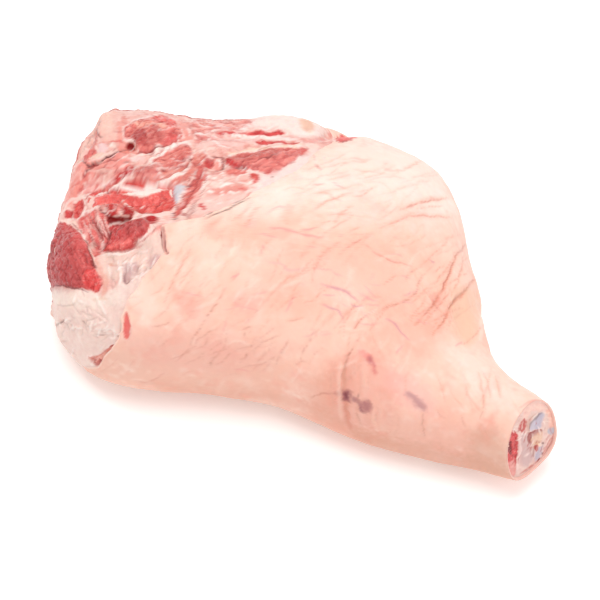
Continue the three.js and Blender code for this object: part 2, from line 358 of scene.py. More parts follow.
def linear(hex_colour: str) -> Array:
    """A colour such as #e8b0a0 in the linear values that shaders use."""
    raw = np.array([int(hex_colour[k : k + 2], 16) for k in (1, 3, 5)]) / 255.0
    return np.where(raw <= 0.04045, raw / 12.92, ((raw + 0.055) / 1.055) ** 2.4)


class Tissue(Enum):
    """What a patch is made of: how fibrous, how grainy and how wet it is, each from 0 to 1."""

    SKIN = (0.0, 0.0, 0.15)
    FAT = (0.0, 0.12, 0.3)
    FASCIA = (0.25, 0.15, 0.6)
    MUSCLE = (1.0, 0.35, 0.8)
    MARROW = (0.0, 1.0, 0.9)
    BONE = (0.0, 0.1, 0.35)
    GRISTLE = (0.0, 0.0, 0.7)
    CAVITY = (0.0, 0.0, 0.0)


@dataclass(frozen=True)
class Patch:
    """An area of one tissue, outlined in the photograph's pixels.

    Fields: the fibre's direction run in degrees in the picture, the width soft of its blended edge, the wander
    ragged of that edge, both in pixels, its rise in millimetres, reached dome pixels inside the outline.
    """

    name: str
    colour: str
    outline: Pixels
    tissue: Tissue = Tissue.FASCIA
    run: float = 0.0
    soft: float = 1.2
    ragged: float = 1.0
    rise: float = 0.0
    dome: float = 6.0
    strength: float = 1.0
    membrane: float = 0.75
    marbled: float = 0.4


@dataclass(frozen=True)
class Line:
    """A seam, crease, ridge or vein along a path in the photograph's pixels, its width in pixels."""

    name: str
    colour: str
    path: Pixels
    width: float = 1.2
    strength: float = 0.8
    rise: float = 0.0
    soft: float = 1.0
    tissue: Tissue | None = None
    # How far a soft band of painted shade reaches beside the line, in pixels; 0 for none.
    valley_shade: float = 0.0


# The colour of the soft painted shade beside a crease.
CREASE_SHADE_COLOUR = "#efb29f"


def curved(path: Pixels, steps: int = 4) -> Pixels:
    """A path of straight runs bent into a Catmull-Rom curve through its corners."""
    if len(path) < 3:
        return path
    c = np.array(path, float)
    c = np.vstack([2 * c[:1] - c[1:2], c, 2 * c[-1:] - c[-2:-1]])
    t = np.arange(steps)[:, None] / steps
    runs = []
    for p0, p1, p2, p3 in zip(c[:-3], c[1:-2], c[2:-1], c[3:]):
        bend = (2 * p0 - 5 * p1 + 4 * p2 - p3) * t**2
        runs.append(0.5 * (2 * p1 + (p2 - p0) * t + bend + (3 * p1 - p0 - 3 * p2 + p3) * t**3))
    return tuple(map(tuple, np.vstack([*runs, c[-2:-1]])))


class Canvas:
    """The colour, tissue and relief of one piece's surface, painted through the photograph's view."""

    WARP = 1.1
    WARP_SIZE = 7.0
    WOBBLE_SIZE = 2.6
    FIBRE = (11.0, 1.3)
    FIBRE_DEPTH = 0.3
    GRAIN_DEPTH = 0.34
    MARBLE = (7.0, 2.6)
    MARBLE_COLOUR = "#eeb9ae"
    RIM_COLOUR = "#f8e0d7"

    def __init__(self, noise: Noise, points: Array, pixels: Array, seen: Array, ground: str) -> None:
        """Starts from one ground colour.

        Args:
            noise: the random values that fray the outlines.
            points: the surface, in millimetres.
            pixels: where each point falls in the photograph.
            seen: how far each point shows there, 0 to 1.
            ground: the colour that paint goes over.
        """
        shift = [noise.at(points + 90.0 * k, self.WARP_SIZE, 2) for k in (1, 2)]
        self.noise, self.seen = noise, seen
        self.pixels = pixels + self.WARP * np.stack(shift, -1)
        self.wobble = noise.at(points + 300.0, self.WOBBLE_SIZE, 2)
        self.colour = np.tile(linear(ground), (*seen.shape, 1))
        self.tissue = np.zeros((*seen.shape, 3))
        self.rise = np.zeros(seen.shape)

    def close_to(self, corners: Pixels, margin: float) -> tuple[Array, ...]:
        """Which points fall within a margin of the box round some corners."""
        low, high = np.min(corners, axis=0) - margin, np.max(corners, axis=0) + margin
        return np.nonzero(np.all((self.pixels > low) & (self.pixels < high), axis=-1) & (self.seen > 0.0))

    def lay(self, where: tuple[Array, ...], mask: Array, colour: Array, tissue: Tissue | None) -> None:
        """Blends a colour and a tissue in by a mask."""
        mask = mask[..., None]
        self.colour[where] += mask * (colour - self.colour[where])
        if tissue is not None:
            self.tissue[where] += mask * (np.array(tissue.value) - self.tissue[where])

    def patch(self, patch: Patch) -> None:
        """Paints a patch, streaked along its fibres and mottled by its grain."""
        where = self.close_to(patch.outline, patch.soft + 4.0)
        pixels, wobble = self.pixels[where], self.wobble[where]
        if not len(pixels):
            return
        depth = outline_depth(pixels, curved(patch.outline + patch.outline[:1], 3)[:-1]) + patch.ragged * wobble
        run = math.radians(patch.run)
        along = pixels @ np.array([math.cos(run), math.sin(run)]) + 2.0 * wobble
        across = pixels @ np.array([-math.sin(run), math.cos(run)])
        flat = np.zeros(len(pixels))
        streak = self.noise.at(np.stack([along / self.FIBRE[0], across / self.FIBRE[1], flat + 3.0], -1), 1.0, 2)
        mottle = self.noise.at(np.stack([pixels[:, 0], pixels[:, 1], flat], -1), 3.0, 2)
        fibre, grain, _ = patch.tissue.value
        change = 1.0 + self.FIBRE_DEPTH * fibre * streak + self.GRAIN_DEPTH * grain * mottle
        red = max(fibre, 0.8 * (grain > 0.8))
        # Red flesh is painted darker just inside its outline: painted shade where bundles meet.
        change *= 1.0 - 0.22 * red * (1.0 - smooth_step(0.3, 2.6, depth))
        # A change of brightness in flesh shows in its green and blue more than in its red.
        colour = linear(patch.colour) * np.maximum(change, 0.2)[:, None] ** np.array([0.45, 1.25, 1.2])
        marble_at = np.stack([along / self.MARBLE[0], across / self.MARBLE[1], flat + 9.0], -1)
        marble = 1.0 - smooth_step(0.03, 0.13, np.abs(self.noise.at(marble_at, 1.0, 2)))
        marble *= patch.marbled * red * smooth_step(-0.2, 0.5, mottle)
        colour += marble[:, None] * (linear(self.MARBLE_COLOUR) - colour)
        shown = patch.strength * self.seen[where]
        rim = smooth_step(-3.2, -1.2, depth) * (1.0 - smooth_step(-0.4, 0.6, depth)) * red
        frayed = self.noise.at(np.stack([*pixels.T, flat], -1), 5.0, 2)
        rim *= patch.membrane * shown * smooth_step(-0.5, 0.3, frayed)
        self.lay(where, rim, linear(self.RIM_COLOUR), None)
        mask = smooth_step(-patch.soft, patch.soft, depth) * shown
        self.lay(where, mask, colour, patch.tissue)
        relief = patch.rise * smooth_step(-patch.soft, patch.dome, depth)
        bumps = 0.3 * fibre * streak + 0.55 * grain * mottle * (grain > 0.3) + 0.3 * marble
        relief += bumps * mask + 0.35 * rim
        self.rise[where] += relief * self.seen[where]

    def line(self, line: Line) -> None:
        """Paints a line that tapers to both ends."""
        path = curved(line.path)
        where = self.close_to(path, line.width + line.soft + 3.0)
        if not len(where[0]):
            return
        gap, share = path_distance(self.pixels[where], path)
        taper = np.sqrt(np.clip(4.0 * share * (1.0 - share), 0.0, 1.0))
        half = 0.5 * line.width * (0.35 + 0.65 * taper) * (1.0 + 0.3 * self.wobble[where])
        shown = (0.35 + 0.65 * taper) * self.seen[where]
        # A soft band of painted shade beside the crease, with its dark core broken up along it.
        if line.valley_shade:
            places = np.stack([share * 9.0, gap * 0.0, gap * 0.0], -1)
            broken = smooth_step(-0.9, 0.4, self.noise.at(places, 1.0, 2))
            tone = (1.0 - smooth_step(0.0, line.valley_shade, gap)) * shown * 0.5 * line.strength
            self.lay(where, tone, linear(CREASE_SHADE_COLOUR), None)
            shown = shown * (0.35 + 0.65 * broken)
        mask = (1.0 - smooth_step(half - 0.5 * line.soft, half + line.soft, gap)) * shown
        self.lay(where, mask * line.strength, linear(line.colour), line.tissue)
        self.rise[where] += line.rise * (1.0 - smooth_step(0.0, half + line.soft + 1.0, gap)) * shown

    def tone(self, colour: str, mask: Array) -> None:
        """Blends one colour in by a mask over the whole surface."""
        self.colour += mask[..., None] * (linear(colour) - self.colour)

    def paint(self, marks: tuple[Patch | Line, ...]) -> None:
        """Paints marks in their order."""
        for mark in marks:
            if isinstance(mark, Patch):
                self.patch(mark)
            else:
                self.line(mark)


@dataclass
class Skin:
    """A closed surface ready to become a mesh: rows of points that close round, with a pole at either end."""

    rows: Array
    first_pole: Array
    last_pole: Array
    colour: Array
    tissue: Array

    def build(self, name: str, material: bpy.types.Material, low: Array, high: Array) -> bpy.types.Object:
        """Makes the mesh object, kept within a box.

        Args:
            name: the piece's name.
            material: its finish.
            low: the box's low corner in metres.
            high: the box's high corner in metres.

        Returns:
            The object, at the origin, with its place in its mesh.
        """
        count, around = self.rows.shape[:2]
        points = np.vstack([self.rows.reshape(-1, 3), self.first_pole, self.last_pole]) - FLOOR_CENTRE
        points = np.clip(points * MM, low, high)
        ids = np.arange(count * around).reshape(count, around)
        beside = np.roll(ids, -1, axis=1)
        quads = np.stack([ids[:-1], ids[1:], beside[1:], beside[:-1]], -1).reshape(-1, 4)
        first, last = count * around, count * around + 1
        starts = np.stack([np.full(around, first), ids[0], beside[0]], -1)
        ends = np.stack([np.full(around, last), beside[-1], ids[-1]], -1)
        mesh = bpy.data.meshes.new(name)
        mesh.from_pydata(points.tolist(), [], quads.tolist() + starts.tolist() + ends.tolist())
        mesh.polygons.foreach_set("use_smooth", np.ones(len(mesh.polygons), bool))
        for label, values in (("tint", self.colour), ("tissue", self.tissue)):
            flat = values.reshape(-1, 3)
            flat = np.vstack([flat, values[0].mean(axis=0), values[-1].mean(axis=0)])
            data = mesh.attributes.new(label, "FLOAT_COLOR", "POINT").data
            data.foreach_set("color", np.hstack([flat, np.ones((len(flat), 1))]).astype(np.float32).ravel())
        mesh.materials.append(material)
        made = bpy.data.objects.new(name, mesh)
        bpy.context.scene.collection.objects.link(made)
        LOG.info("%s: %d faces", name, len(mesh.polygons))
        return made


class Value:
    """A shader value that adds, subtracts, multiplies and divides as a number does."""

    def __init__(self, shader: "Shader", socket: bpy.types.NodeSocket) -> None:
        """Wraps a socket."""
        self.shader, self.socket = shader, socket

    def math(self, operation: str, *others: "Value | float", swap: bool = False) -> "Value":
        """The result of a Math node on this value and others."""
        terms = (*others, self) if swap else (self, *others)
        return self.shader.node("ShaderNodeMath", "Value", {"operation": operation}, *terms)

    def __add__(self, other: "Value | float") -> "Value":
        """The sum, as a new socket."""
        return self.math("ADD", other)

    def __sub__(self, other: "Value | float") -> "Value":
        """The difference, as a new socket."""
        return self.math("SUBTRACT", other)

    def __mul__(self, other: "Value | float") -> "Value":
        """The product, as a new socket."""
        return self.math("MULTIPLY", other)

    def __truediv__(self, other: "Value | float") -> "Value":
        """The quotient, as a new socket."""
        return self.math("DIVIDE", other)

    def __rsub__(self, other: float) -> "Value":
        """The difference from a plain number, as a new socket."""
        return self.math("SUBTRACT", other, swap=True)

    __radd__ = __add__
    __rmul__ = __mul__


class Shader:
    """A material under construction, whose texture places are the object's own coordinates in metres."""

    def __init__(self, name: str) -> None:
        """Starts an empty node tree."""
        self.material = bpy.data.materials.new(name)
        self.material.use_nodes = True
        self.tree = self.material.node_tree
        self.tree.nodes.clear()
        self.place = self.node("ShaderNodeTexCoord", "Object", {})

    def node(self, kind: str, output: str, settings: dict, *inputs: object, **named: object) -> Value:
        """Adds a node.

        Args:
            kind: the node's type.
            output: the output to hand back.
            settings: its properties.
            inputs: values for its inputs in order, None for one left alone.
            named: values for inputs by name, an underscore standing for a space.

        Returns:
            The output, ready for sums.
        """
        node = self.tree.nodes.new(kind)
        for key, value in settings.items():
            setattr(node, key, value)
        pairs = [(node.inputs[k], value) for k, value in enumerate(inputs) if value is not None]
        pairs += [(node.inputs[key.replace("_", " ")], value) for key, value in named.items()]
        for socket, value in pairs:
            if isinstance(value, Value):
                self.tree.links.new(value.socket, socket)
            else:
                socket.default_value = value
        return Value(self, node.outputs[output])

    def mix(self, share: "Value | float", a: object, b: object) -> Value:
        """A colour between a and b."""
        node = self.tree.nodes.new("ShaderNodeMix")
        node.data_type = "RGBA"
        for label, value in (("Factor_Float", share), ("A_Color", a), ("B_Color", b)):
            socket = next(s for s in node.inputs if s.identifier == label)
            if isinstance(value, Value):
                self.tree.links.new(value.socket, socket)
            else:
                socket.default_value = value
        return Value(self, next(s for s in node.outputs if s.identifier == "Result_Color"))

    def noise(self, size_mm: float, detail: float = 3.0, rough: float = 0.55) -> Value:
        """Noise about as wide as size_mm, from 0 to 1."""
        return self.node(
            "ShaderNodeTexNoise", "Fac", {},
            Vector=self.place, Scale=1000.0 / size_mm, Detail=detail, Roughness=rough,
        )


@dataclass(frozen=True)
class Flesh:
    """A finish of moist flesh, skin or bone, over the colours painted on the piece."""

    name: str
    dry: float = 0.55
    wet: float = 0.32
    glow: float = 0.12
    glow_reach: float = 0.004
    coat: float = 0.1
    coat_rough: float = 0.3
    mottle: float = 0.06
    mottle_mm: float = 5.0
    bump_mm: float = 0.12
    pores_mm: float = 1.1
    shine: float = 0.35

    def build(self) -> bpy.types.Material:
        """Makes the material: painted tint with fine mottling, wet parts smoother, grainy parts rougher."""
        shader = Shader(self.name)
        tint = shader.node("ShaderNodeAttribute", "Color", {"attribute_name": "tint"})
        tissue = shader.node("ShaderNodeAttribute", "Color", {"attribute_name": "tissue"})
        split = shader.node("ShaderNodeSeparateColor", "Red", {}, tissue)
        fibre, grain, wet = (Value(shader, split.socket.node.outputs[k]) for k in ("Red", "Green", "Blue"))
        broad, fine = shader.noise(self.mottle_mm, 4.0), shader.noise(self.pores_mm, 2.0)
        speck = shader.noise(1.9, 3.0, 0.7)
        change = 1.0 + (broad - 0.5) * (self.mottle * 2.0) + (fine - 0.5) * (self.mottle + grain * 0.35)
        ground = shader.node("ShaderNodeVectorMath", "Vector", {"operation": "SCALE"}, tint, Scale=change)
        fleck = (speck - 0.62) * 9.0 * (fibre * 0.55 + grain * 0.4)
        fleck = fleck.math("MAXIMUM", 0.0).math("MINIMUM", 0.35)
        colour = shader.mix(fleck, ground, (*linear("#f3c9bd"), 1.0))
        rough = self.dry + (self.wet - self.dry) * wet + (fine - 0.5) * 0.12
        height = fine * 0.5 + broad * 0.5 + speck * (grain * 1.2 + fibre * 0.6)
        normal = shader.node(
            "ShaderNodeBump", "Normal", {}, Strength=0.55, Distance=self.bump_mm * MM * 4.0, Height=height
        )
        surface = shader.node(
            "ShaderNodeBsdfPrincipled",
            "BSDF",
            {},
            Base_Color=colour,
            Roughness=rough,
            Normal=normal,
            Coat_Weight=wet * self.coat * 2.0,
            Coat_Roughness=self.coat_rough,
            Subsurface_Weight=self.glow,
            Subsurface_Radius=(1.0, 0.4, 0.25),
            Subsurface_Scale=self.glow_reach,
            Specular_IOR_Level=self.shine,
        )
        self.end(shader, surface)
        return shader.material

    @staticmethod
    def end(shader: Shader, surface: Value) -> None:
        """Links the surface to the material's output."""
        output = shader.tree.nodes.new("ShaderNodeOutputMaterial")
        shader.tree.links.new(surface.socket, output.inputs["Surface"])


def corners(text: str) -> Pixels:
    """The corners of an outline or a path, written as x,y pairs of the photograph's pixels."""
    return tuple(tuple(map(float, pair.split(","))) for pair in text.split())


def patches_of(tissue: Tissue) -> Callable[..., Patch]:
    """The function that makes patches of one tissue from a name, a colour, the corners and the other fields."""

    def patch(name: str, colour: str, outline: str, **fields: float) -> Patch:
        """One patch of this tissue."""
        return Patch(name, colour, corners(outline), tissue, **fields)

    return patch


skin, fat, fascia = map(patches_of, (Tissue.SKIN, Tissue.FAT, Tissue.FASCIA))
muscle, marrow, gristle = map(patches_of, (Tissue.MUSCLE, Tissue.MARROW, Tissue.GRISTLE))
cavity = patches_of(Tissue.CAVITY)


def line(name: str, colour: str, path: str, *fields: float | Tissue, **named: float) -> Line:
    """One line from its corners and the fields of Line in their order."""
    return Line(name, colour, corners(path), *fields, **named)


# The butt cut: fat and fascia first, then muscles, then seams. Pixels of the photograph.
# Dark lines sunk along seams, gaps, slits, folds and under muscles are painted shade there, over the flesh's own
# darker colour.
MEAT_MARKS = (
    fat("near fat", "#eccdc2", "30,284 60,286 90,292 108,292 130,268 150,250 172,240 172,258 140,300 "
        "130,345 105,385 60,370 30,330", soft=4, ragged=1.5),
    fat("clean band of the near fat", "#efd6ca", "50,288 80,288 100,296 118,290 122,300 96,308 66,306 "
        "50,300", soft=4, ragged=2, rise=0.5),
    fat("corner lobe fat", "#eeb8aa", "100,112 122,113 124,132 118,142 104,140 99,128 98,118",
        soft=2.2, rise=0.3),
    fat("cream of the corner", "#f1c3b4", "102,116 112,115 113,128 108,134 102,128", soft=2),
    fascia("red seam of the corner", "#e2887a", "121,118 126,117 127,127 123,133 120,128", soft=1.6),
    fat("small fat knob", "#f0c5af", "124,128 130,127 131,133 126,135", soft=1.2, rise=1.2, dome=2),
    muscle("red rim under the corner", "#e0756d", "84,152 92,146 97,152 95,160 86,161 80,158",
        run=-40, soft=1.6),
    fascia("dusty left rim", "#d4877e", "90,134 95,128 98,138 95,146 89,147", soft=1.8),
    gristle("pale patch of the corner", "#edc6c3", "98,145 104,143 107,147 105,153 99,153",
        soft=1.5, rise=0.8, dome=3),
    fat("cream under the pale patch", "#efc6b4", "90,158 97,153 105,154 106,158 99,162 92,163",
        soft=1.6, rise=0.5, dome=3),
    fascia("pink under the corner", "#ed9388", "81,160 101,158 126,150 129,168 108,180 84,182 74,172",
        run=-25, soft=2),
    gristle("grey fascia oval", "#e1a194", "95,172 103,168 113,170 113,178 104,183 95,181",
        soft=2.5, rise=1),
    fascia("pink of the upper middle", "#ec9a8d", "118,122 185,120 192,142 165,150 137,158 118,150",
        soft=3),
    muscle("upper red muscle", "#eb8378", "124,128 136,121 152,119 166,119 178,126 182,138 172,147 156,152 "
        "140,152 134,142 126,140", run=-28, soft=2, rise=2.2),
    muscle("dark core of the upper muscle", "#bc4541", "131,137 136,132 144,131 150,136 156,141 150,147 "
        "140,147 134,143", run=-28, soft=2.2, membrane=0.0),
    marrow("speckled middle of the upper muscle", "#d16a62", "150,131 160,130 166,136 160,145 150,146 "
        "146,138", soft=2.5, membrane=0.0),
    muscle("red right of the upper muscle", "#e3635d", "165,137 172,133 181,135 180,141 172,144 164,145",
        run=-25, soft=1.8, membrane=0.0),
    muscle("salmon band of the upper muscle", "#fbb29f", "132,124 140,122 154,125 168,126 166,130 150,128 "
        "138,130", run=-6, soft=1.5, membrane=0.0, marbled=0.2),
    muscle("crimson of the upper muscle's end", "#ed726b", "154,118 160,115 168,118 176,123 171,128 160,124",
        run=20, soft=1.6, membrane=0.0),
    muscle("coral muscle behind the loin eye", "#df7a70", "152,162 158,154 170,148 184,145 192,149 188,160 "
        "176,168 160,170 150,168", run=-25, soft=1.6, rise=1.5),
    muscle("loin eye", "#dc8076", "134,172 140,167 150,166 160,168 162,175 157,181 147,183 138,181",
        run=10, soft=2.0, rise=2.4, marbled=0.1, membrane=0.4),
    muscle("pink between loin and vessels", "#df8072", "160,170 178,168 190,160 204,152 206,166 194,172 "
        "184,182 168,182", run=-35, soft=2.5),
    marrow("red diagonal", "#cc2a2b", "109,186 114,177 120,171 127,167.5 133,167 132,173 127,180 119,188 "
        "110,191", soft=1.4, ragged=1.6, rise=-0.6, membrane=0.2),
    line("dark specks of the diagonal", "#84191d", "116,183 121,180 125,176.5 128,172",
        1.8, 0.8, -0.8, 0.8),
    marrow("red at the diagonal's foot", "#d14844", "103,190 108,187 114,187.5 112,191.5 105,193.5",
        soft=1.2),
    fascia("pale pink left of the arc", "#f1aca3", "85,183 97,181 101,189 92,196 84,194", soft=2),
    muscle("red stripes", "#e2524c", "84,200 96,190 112,184 114,190 104,195 93,203", run=-20, soft=1.5),
    marrow("upper left red patch", "#d8443e", "71.5,184.5 81,183 83.5,188 81,193 73,193.5 70,190",
        soft=1.6),
    marrow("lower left red patch", "#d84843", "74,203 82,200 84,206 82,213 78,218 73.5,218 75,210",
        soft=1.4),
    marrow("small crimson patch", "#d14141", "66,211.5 70,210 73,214 71.5,218 66,218", soft=1.1),
    fascia("pink left rim", "#e89084", "66,190 72,172 80,168 84,182 74,200 66,206", soft=2),
    marrow("band of red below the arc", "#d1322e", "96,195 112,190 130,193 150,194 168,188 174,198 170,208 "
        "150,213 136,214 118,206 98,206", soft=1.5),
    marrow("bed of the pelvic bone", "#df544c", "86,198 100,195 111,191 135,190 161,186 176,187 178,198 "
        "174,208 166,212 148,212 136,212 122,205 98,205 86,203", soft=1.2, rise=-0.8, dome=3, membrane=0.0),
    gristle("gristle beside the bone", "#d1c9cd", "173,187 179.6,185.3 185.5,189 184,195.5 180.5,201.8 "
        "177.8,205 173.6,198", soft=0.9, ragged=0.4, rise=1.6, dome=3),
    fascia("cream round that gristle", "#f5ccbb", "184,196 188,190 191,196 187,204 180,209 177,206 181,202",
        soft=1.2),
    fascia("bank behind the bone", "#db766a", "108,189 114,184 126,181 146,181 162,178 176,172 182,180 "
        "168,184 150,189.5 130,189", soft=1.4, rise=2.6, dome=7),
    muscle("thin red over the arc", "#d84440", "126,181 134,179.5 146,183 158,184 160,187 148,188 "
        "136,187.5 127,186", run=8, soft=1.1, rise=-0.6, membrane=0.2, strength=0.95),
    muscle("frayed strips", "#e26d66", "82,216 98,210 110,222 113,236 101,254 92,256 84,240 76,226",
        run=55, soft=1.6, rise=-1),
    marrow("first red cube", "#c81616", "106,204 112,203 117,205 117.5,214 112,217 107,213",
        soft=0.9, ragged=0.6, rise=2.6, dome=3.5, membrane=0.4),
    marrow("lit face of the first cube", "#cf3e39", "109,206 113,205 115,209 112,212 109,210", soft=1.0),
    marrow("second red cube", "#b91e20", "123,205 128,206 133,211 132.5,216.5 126,215 122.5,211",
        soft=0.9, ragged=0.6, rise=2.4, dome=3.5, membrane=0.4),
    gristle("strip between the cubes", "#e7847a", "118,203 122.5,203.5 122,208 119.5,213 117.5,216 117,210",
        soft=0.7, ragged=0.4, rise=2.8, dome=2),
    gristle("grey scrap", "#d78f84", "98,207 104,206 105,210 100,212", soft=0.9, rise=1.5, dome=2),
    # The hollow's near-black red: its own dark flesh and painted shade in the recess.
    cavity("dark hollow", "#830a0a", "105,214 110,216.5 117,217.6 126,217 132,218 126,222.4 118,225 "
        "111,226.6 107,222", soft=0.9, ragged=0.5, rise=-2.6, dome=3.5, membrane=0.0),
    line("dark line into the hollow", "#7c1f22", "99,209 103,212 107,216", 1.6, 0.9, -1.2, 0.7),
    line("cracks past the hollow", "#8c2226", "118,223.5 123,222.5 127,222", 1.2, 0.7, -0.8, 0.7),
    muscle("second muscle", "#cb4543", "108,227 120,223.5 133,220.5 144,218.5 150,222 146,232 138.5,239 "
        "134,246 126,251 108,252.5 102,250 104,242 110,234",
        run=-42, soft=1.0, ragged=0.6, rise=2.4, marbled=0.25),
    muscle("dusty top of the second muscle", "#c04c4a", "122,224 136,221 148,220 146,228 136,233 122,232",
        run=-35, soft=2.4, membrane=0.0, marbled=0.1),
    muscle("lit foot of the second muscle", "#ee6f68", "108,248 118,242 130,237 132,244 124,249 110,251",
        run=-30, soft=2.2, membrane=0.0),
    line("shadow at the foot of the second muscle", "#9c3b39", "103,252 113,253 126,252 134,247 137,241",
        1.2, 0.8, -1.6, 0.7),
    marrow("glossy bit of the second muscle", "#b81519", "145,217 149,215.5 155,217 157.5,221 152,223.5 "
        "146.5,221", soft=0.8, ragged=0.5, rise=1.6, dome=3, membrane=0.3),
    line("first pink strand", "#dd7f76", "154,232 159,227 165,223", 1.6, 0.8, 0.5, 0.8),
    line("second pink strand", "#e59a90", "149,234 155,229 160,224", 1.4, 0.7, 0.5, 0.8),
    fascia("white fascia on the near muscles", "#fdd4c4", "60,219 73,221 80,228 87,239 92,250 95,262 "
        "90,258 84,244 76,231 68,225", soft=1.0, rise=0.8, dome=2),
    muscle("dark round muscle", "#cf5350", "60,222 67,224 75,228 82,235 87,245 91,257 94,267 92,280 88,290 "
        "76,287 60,285.5 40,284 40,240 54,234",
        run=62, soft=1.1, ragged=0.7, rise=3.4, dome=10, marbled=0.08),
    # Painted shade: the round muscle darker towards its left edge.
    muscle("dusty left of the round muscle", "#b54546", "40,236 58,226 66,232 72,250 78,268 80,286 40,286",
        run=66, soft=7, strength=0.75, membrane=0.0, marbled=0.05),
    line("shadow under the round muscle", "#8c3a39", "52,285.5 64,286.5 76,288 88,292",
        1.4, 0.8, -1.6, 0.7),
    marrow("red lobe of the round muscle", "#e24e4b", "86,273 92,269 98,272 102,279 102,286 97,291.5 "
        "90,290 84,283", soft=1.1, rise=2.0, dome=4, membrane=0.0),
    fascia("pink round the lobe", "#e4a998", "95,262 104,262 110,272 108,288 102,296 103,283 98,272",
        soft=2.5),
    fat("fat under the second muscle", "#eac7ba", "98,256 122,252 136,250 150,236 162,232 166,250 150,266 "
        "132,276 112,280 102,270", soft=3, rise=0.6),
    gristle("lavender gristle", "#cea5a0", "124,265 132,263 139,264 140,269 134,275 128,281 123,282 "
        "122.5,274", soft=2.2, ragged=1.4),
    line("dark edge of the lavender", "#8f5a5c", "125,274 123.5,279 126,284 130,281", 2.0, 0.8, -1.0, 1.0),
    fat("grey shade of the fat", "#d7b9ae", "136,240 148,237 152,246 143,254 136,250",
        soft=4, strength=0.5),
    line("olive shadow by the rind", "#a58277", "149,269 153,268 157,265", 1.8, 0.75, -1.0, 0.9),
    line("fold of the fat over the lobe", "#dcaaa0", "104,262 110,265 117,266 121,270",
        1.4, 0.7, -0.8, 0.8),
    line("orange fleck in the fat", "#dd9a80", "109,265.5 112,265.5 114,266", 2.0, 0.7, -0.3, 0.8),
    line("upright fold of the fat", "#cfa39b", "112,272 111,280 112,289", 1.6, 0.55, -0.8, 1.0),
    line("ridge beside the lavender", "#f9e7de", "120,268 121,276 119,286", 2.6, 0.7, 1.0, 1.0),
    line("ridge under the second muscle", "#f9e6dc", "102,256 112,254.5 126,254 136,249",
        2.2, 0.75, 1.0, 0.8),
    gristle("second lavender gristle", "#ca9b99", "149,258 156,255 161,258 157,264 151,267 148,263",
        soft=2.6, strength=0.8),
    muscle("brown wedge", "#e49282", "89,358 101,353 114,344 116,348 107,358 98,366 93,364",
        run=-30, soft=1.2, rise=-1, dome=3),
    fascia("slit beside the rind", "#913e3d", "161,229 165,228 166,236 166.5,245 168.5,252 166.5,254 "
        "163.5,247 161,238", soft=0.9, ragged=0.4, rise=-1.8, dome=2, marbled=0.0),
    line("dark edge of the slit", "#6b3a38", "165,231 166,240 167,248 169,254", 1.3, 0.85, -1.0, 0.7),
    line("red top of the slit", "#cf6a66", "161,228 162.5,232 163,236", 1.8, 0.7, -0.4, 0.8),
    fat("flank slab", "#f7dbd2", "240,118 258,112 289,112 303,117 316,122 326,134 300,138 284,130 256,127 "
        "232,124", soft=2.5, rise=1.2),
    fat("orange end of the slab", "#e9bda7", "300,120 310,121 314,129 308,133 301,128", soft=2.5),
    muscle("pink behind the strips", "#eea196", "194,120 240,119 252,124 238,132 215,140 198,142 190,130",
        run=2, soft=2.2),
    muscle("first red strip", "#da4443", "214,133 222,132 230,131.6 240,132.6 248,132.4 256,130.6 263,131 "
        "270,131.8 280,130 284,132.6 286,134.6 278,135.4 270,136.4 262,135 252,135.4 240,134.2 228,134.4",
        run=-2, soft=0.7, ragged=0.4, rise=-1, dome=3, membrane=0.5),
    muscle("second red strip", "#e24e4c", "253,140 260,139.6 266,141.2 274,141 286,142 294,142.6 301,142.8 "
        "296,144.6 284,144 272,143.6 262,144.4 256,143",
        run=4, soft=0.7, ragged=0.4, rise=-0.6, dome=3, membrane=0.5),
    muscle("third red strip", "#e4847e", "196,134 204,136.6 214,138 219,140 212,141.4 203,140 196,138",
        run=12, soft=0.9, ragged=0.5),
    line("pink seam to the notch", "#eaa79f", "303,143 312,141 321,139.8 332,139.6", 2.6, 0.8, -0.6, 1.0),
    muscle("red end of the notch", "#df6f67", "334,139.5 340,136 348,134 358,134 356,138 344,141",
        run=-8, soft=0.8, ragged=0.4),
    line("white over the first strip", "#fbe8e1", "232,130 240,129.5 250,129.6", 1.8, 0.7, 0.4, 0.8),
    line("white between the strips", "#fbe9e2", "228,137.6 238,136.4 246,138 262,137.6 280,138.8 300,139.4",
        2.4, 0.9, 0.7, 0.8),
    fat("fat between the strips", "#efc1b8", "204,139 250,138 262,140 240,146 214,146 196,148",
        soft=1.4, rise=0.8, dome=3),
    fat("tan band over the wedge", "#f6d2ba", "226,154 240,150.6 256,148 280,146 303,145.4 296,148 276,149 "
        "256,152 236,156", soft=1.2, rise=0.8, dome=3),
    muscle("wedge muscle", "#e17a71", "226,158 238,155 250,153.6 262,151.4 276,148.6 290,148 307,148.6 "
        "306,152 299,158 290,164 283,168 276,174.6 266,175.4 258,171 248,170 234,170 227,165",
        run=-26, soft=0.9, ragged=0.5, rise=1.8, marbled=0.08),
    muscle("dusty top layer of the wedge", "#db776d", "232,156 246,154 260,152 272,149.6 276,153.6 "
        "264,158.4 250,161 236,161.6", run=-18, soft=1.8, membrane=0.0, marbled=0.1),
    marrow("deep end of the wedge", "#d02f30", "226,158 231,158 234,163 242,166 250,167 248,170.6 238,170 "
        "231,168 227,164", soft=1.2, membrane=0.0),
    muscle("dark fibre band", "#d8675e", "197,165 205,164 207,176 200,188 191,200 184,210 176,217 173,215 "
        "181,203 187,190 194,178", run=-62, soft=1.3, rise=-0.8, dome=4),
    gristle("vessel wall", "#ed9b8f", "213,158 217.5,156.6 223,159.4 224.6,165 221,170 216,171 213.4,166",
        soft=0.8, ragged=0.4, rise=0.8, dome=2),
    marrow("vessel's red side", "#cc4a46", "205,160 210,158.6 214,161 213.6,166 210,169.6 206.4,167",
        soft=0.7, ragged=0.4, rise=-1.2, dome=2, membrane=0.3),
    line("dark rim of the ring", "#8a4340", "213.4,159.5 217,157 221.6,158.8 224,163 223,167.4 219,170.4 "
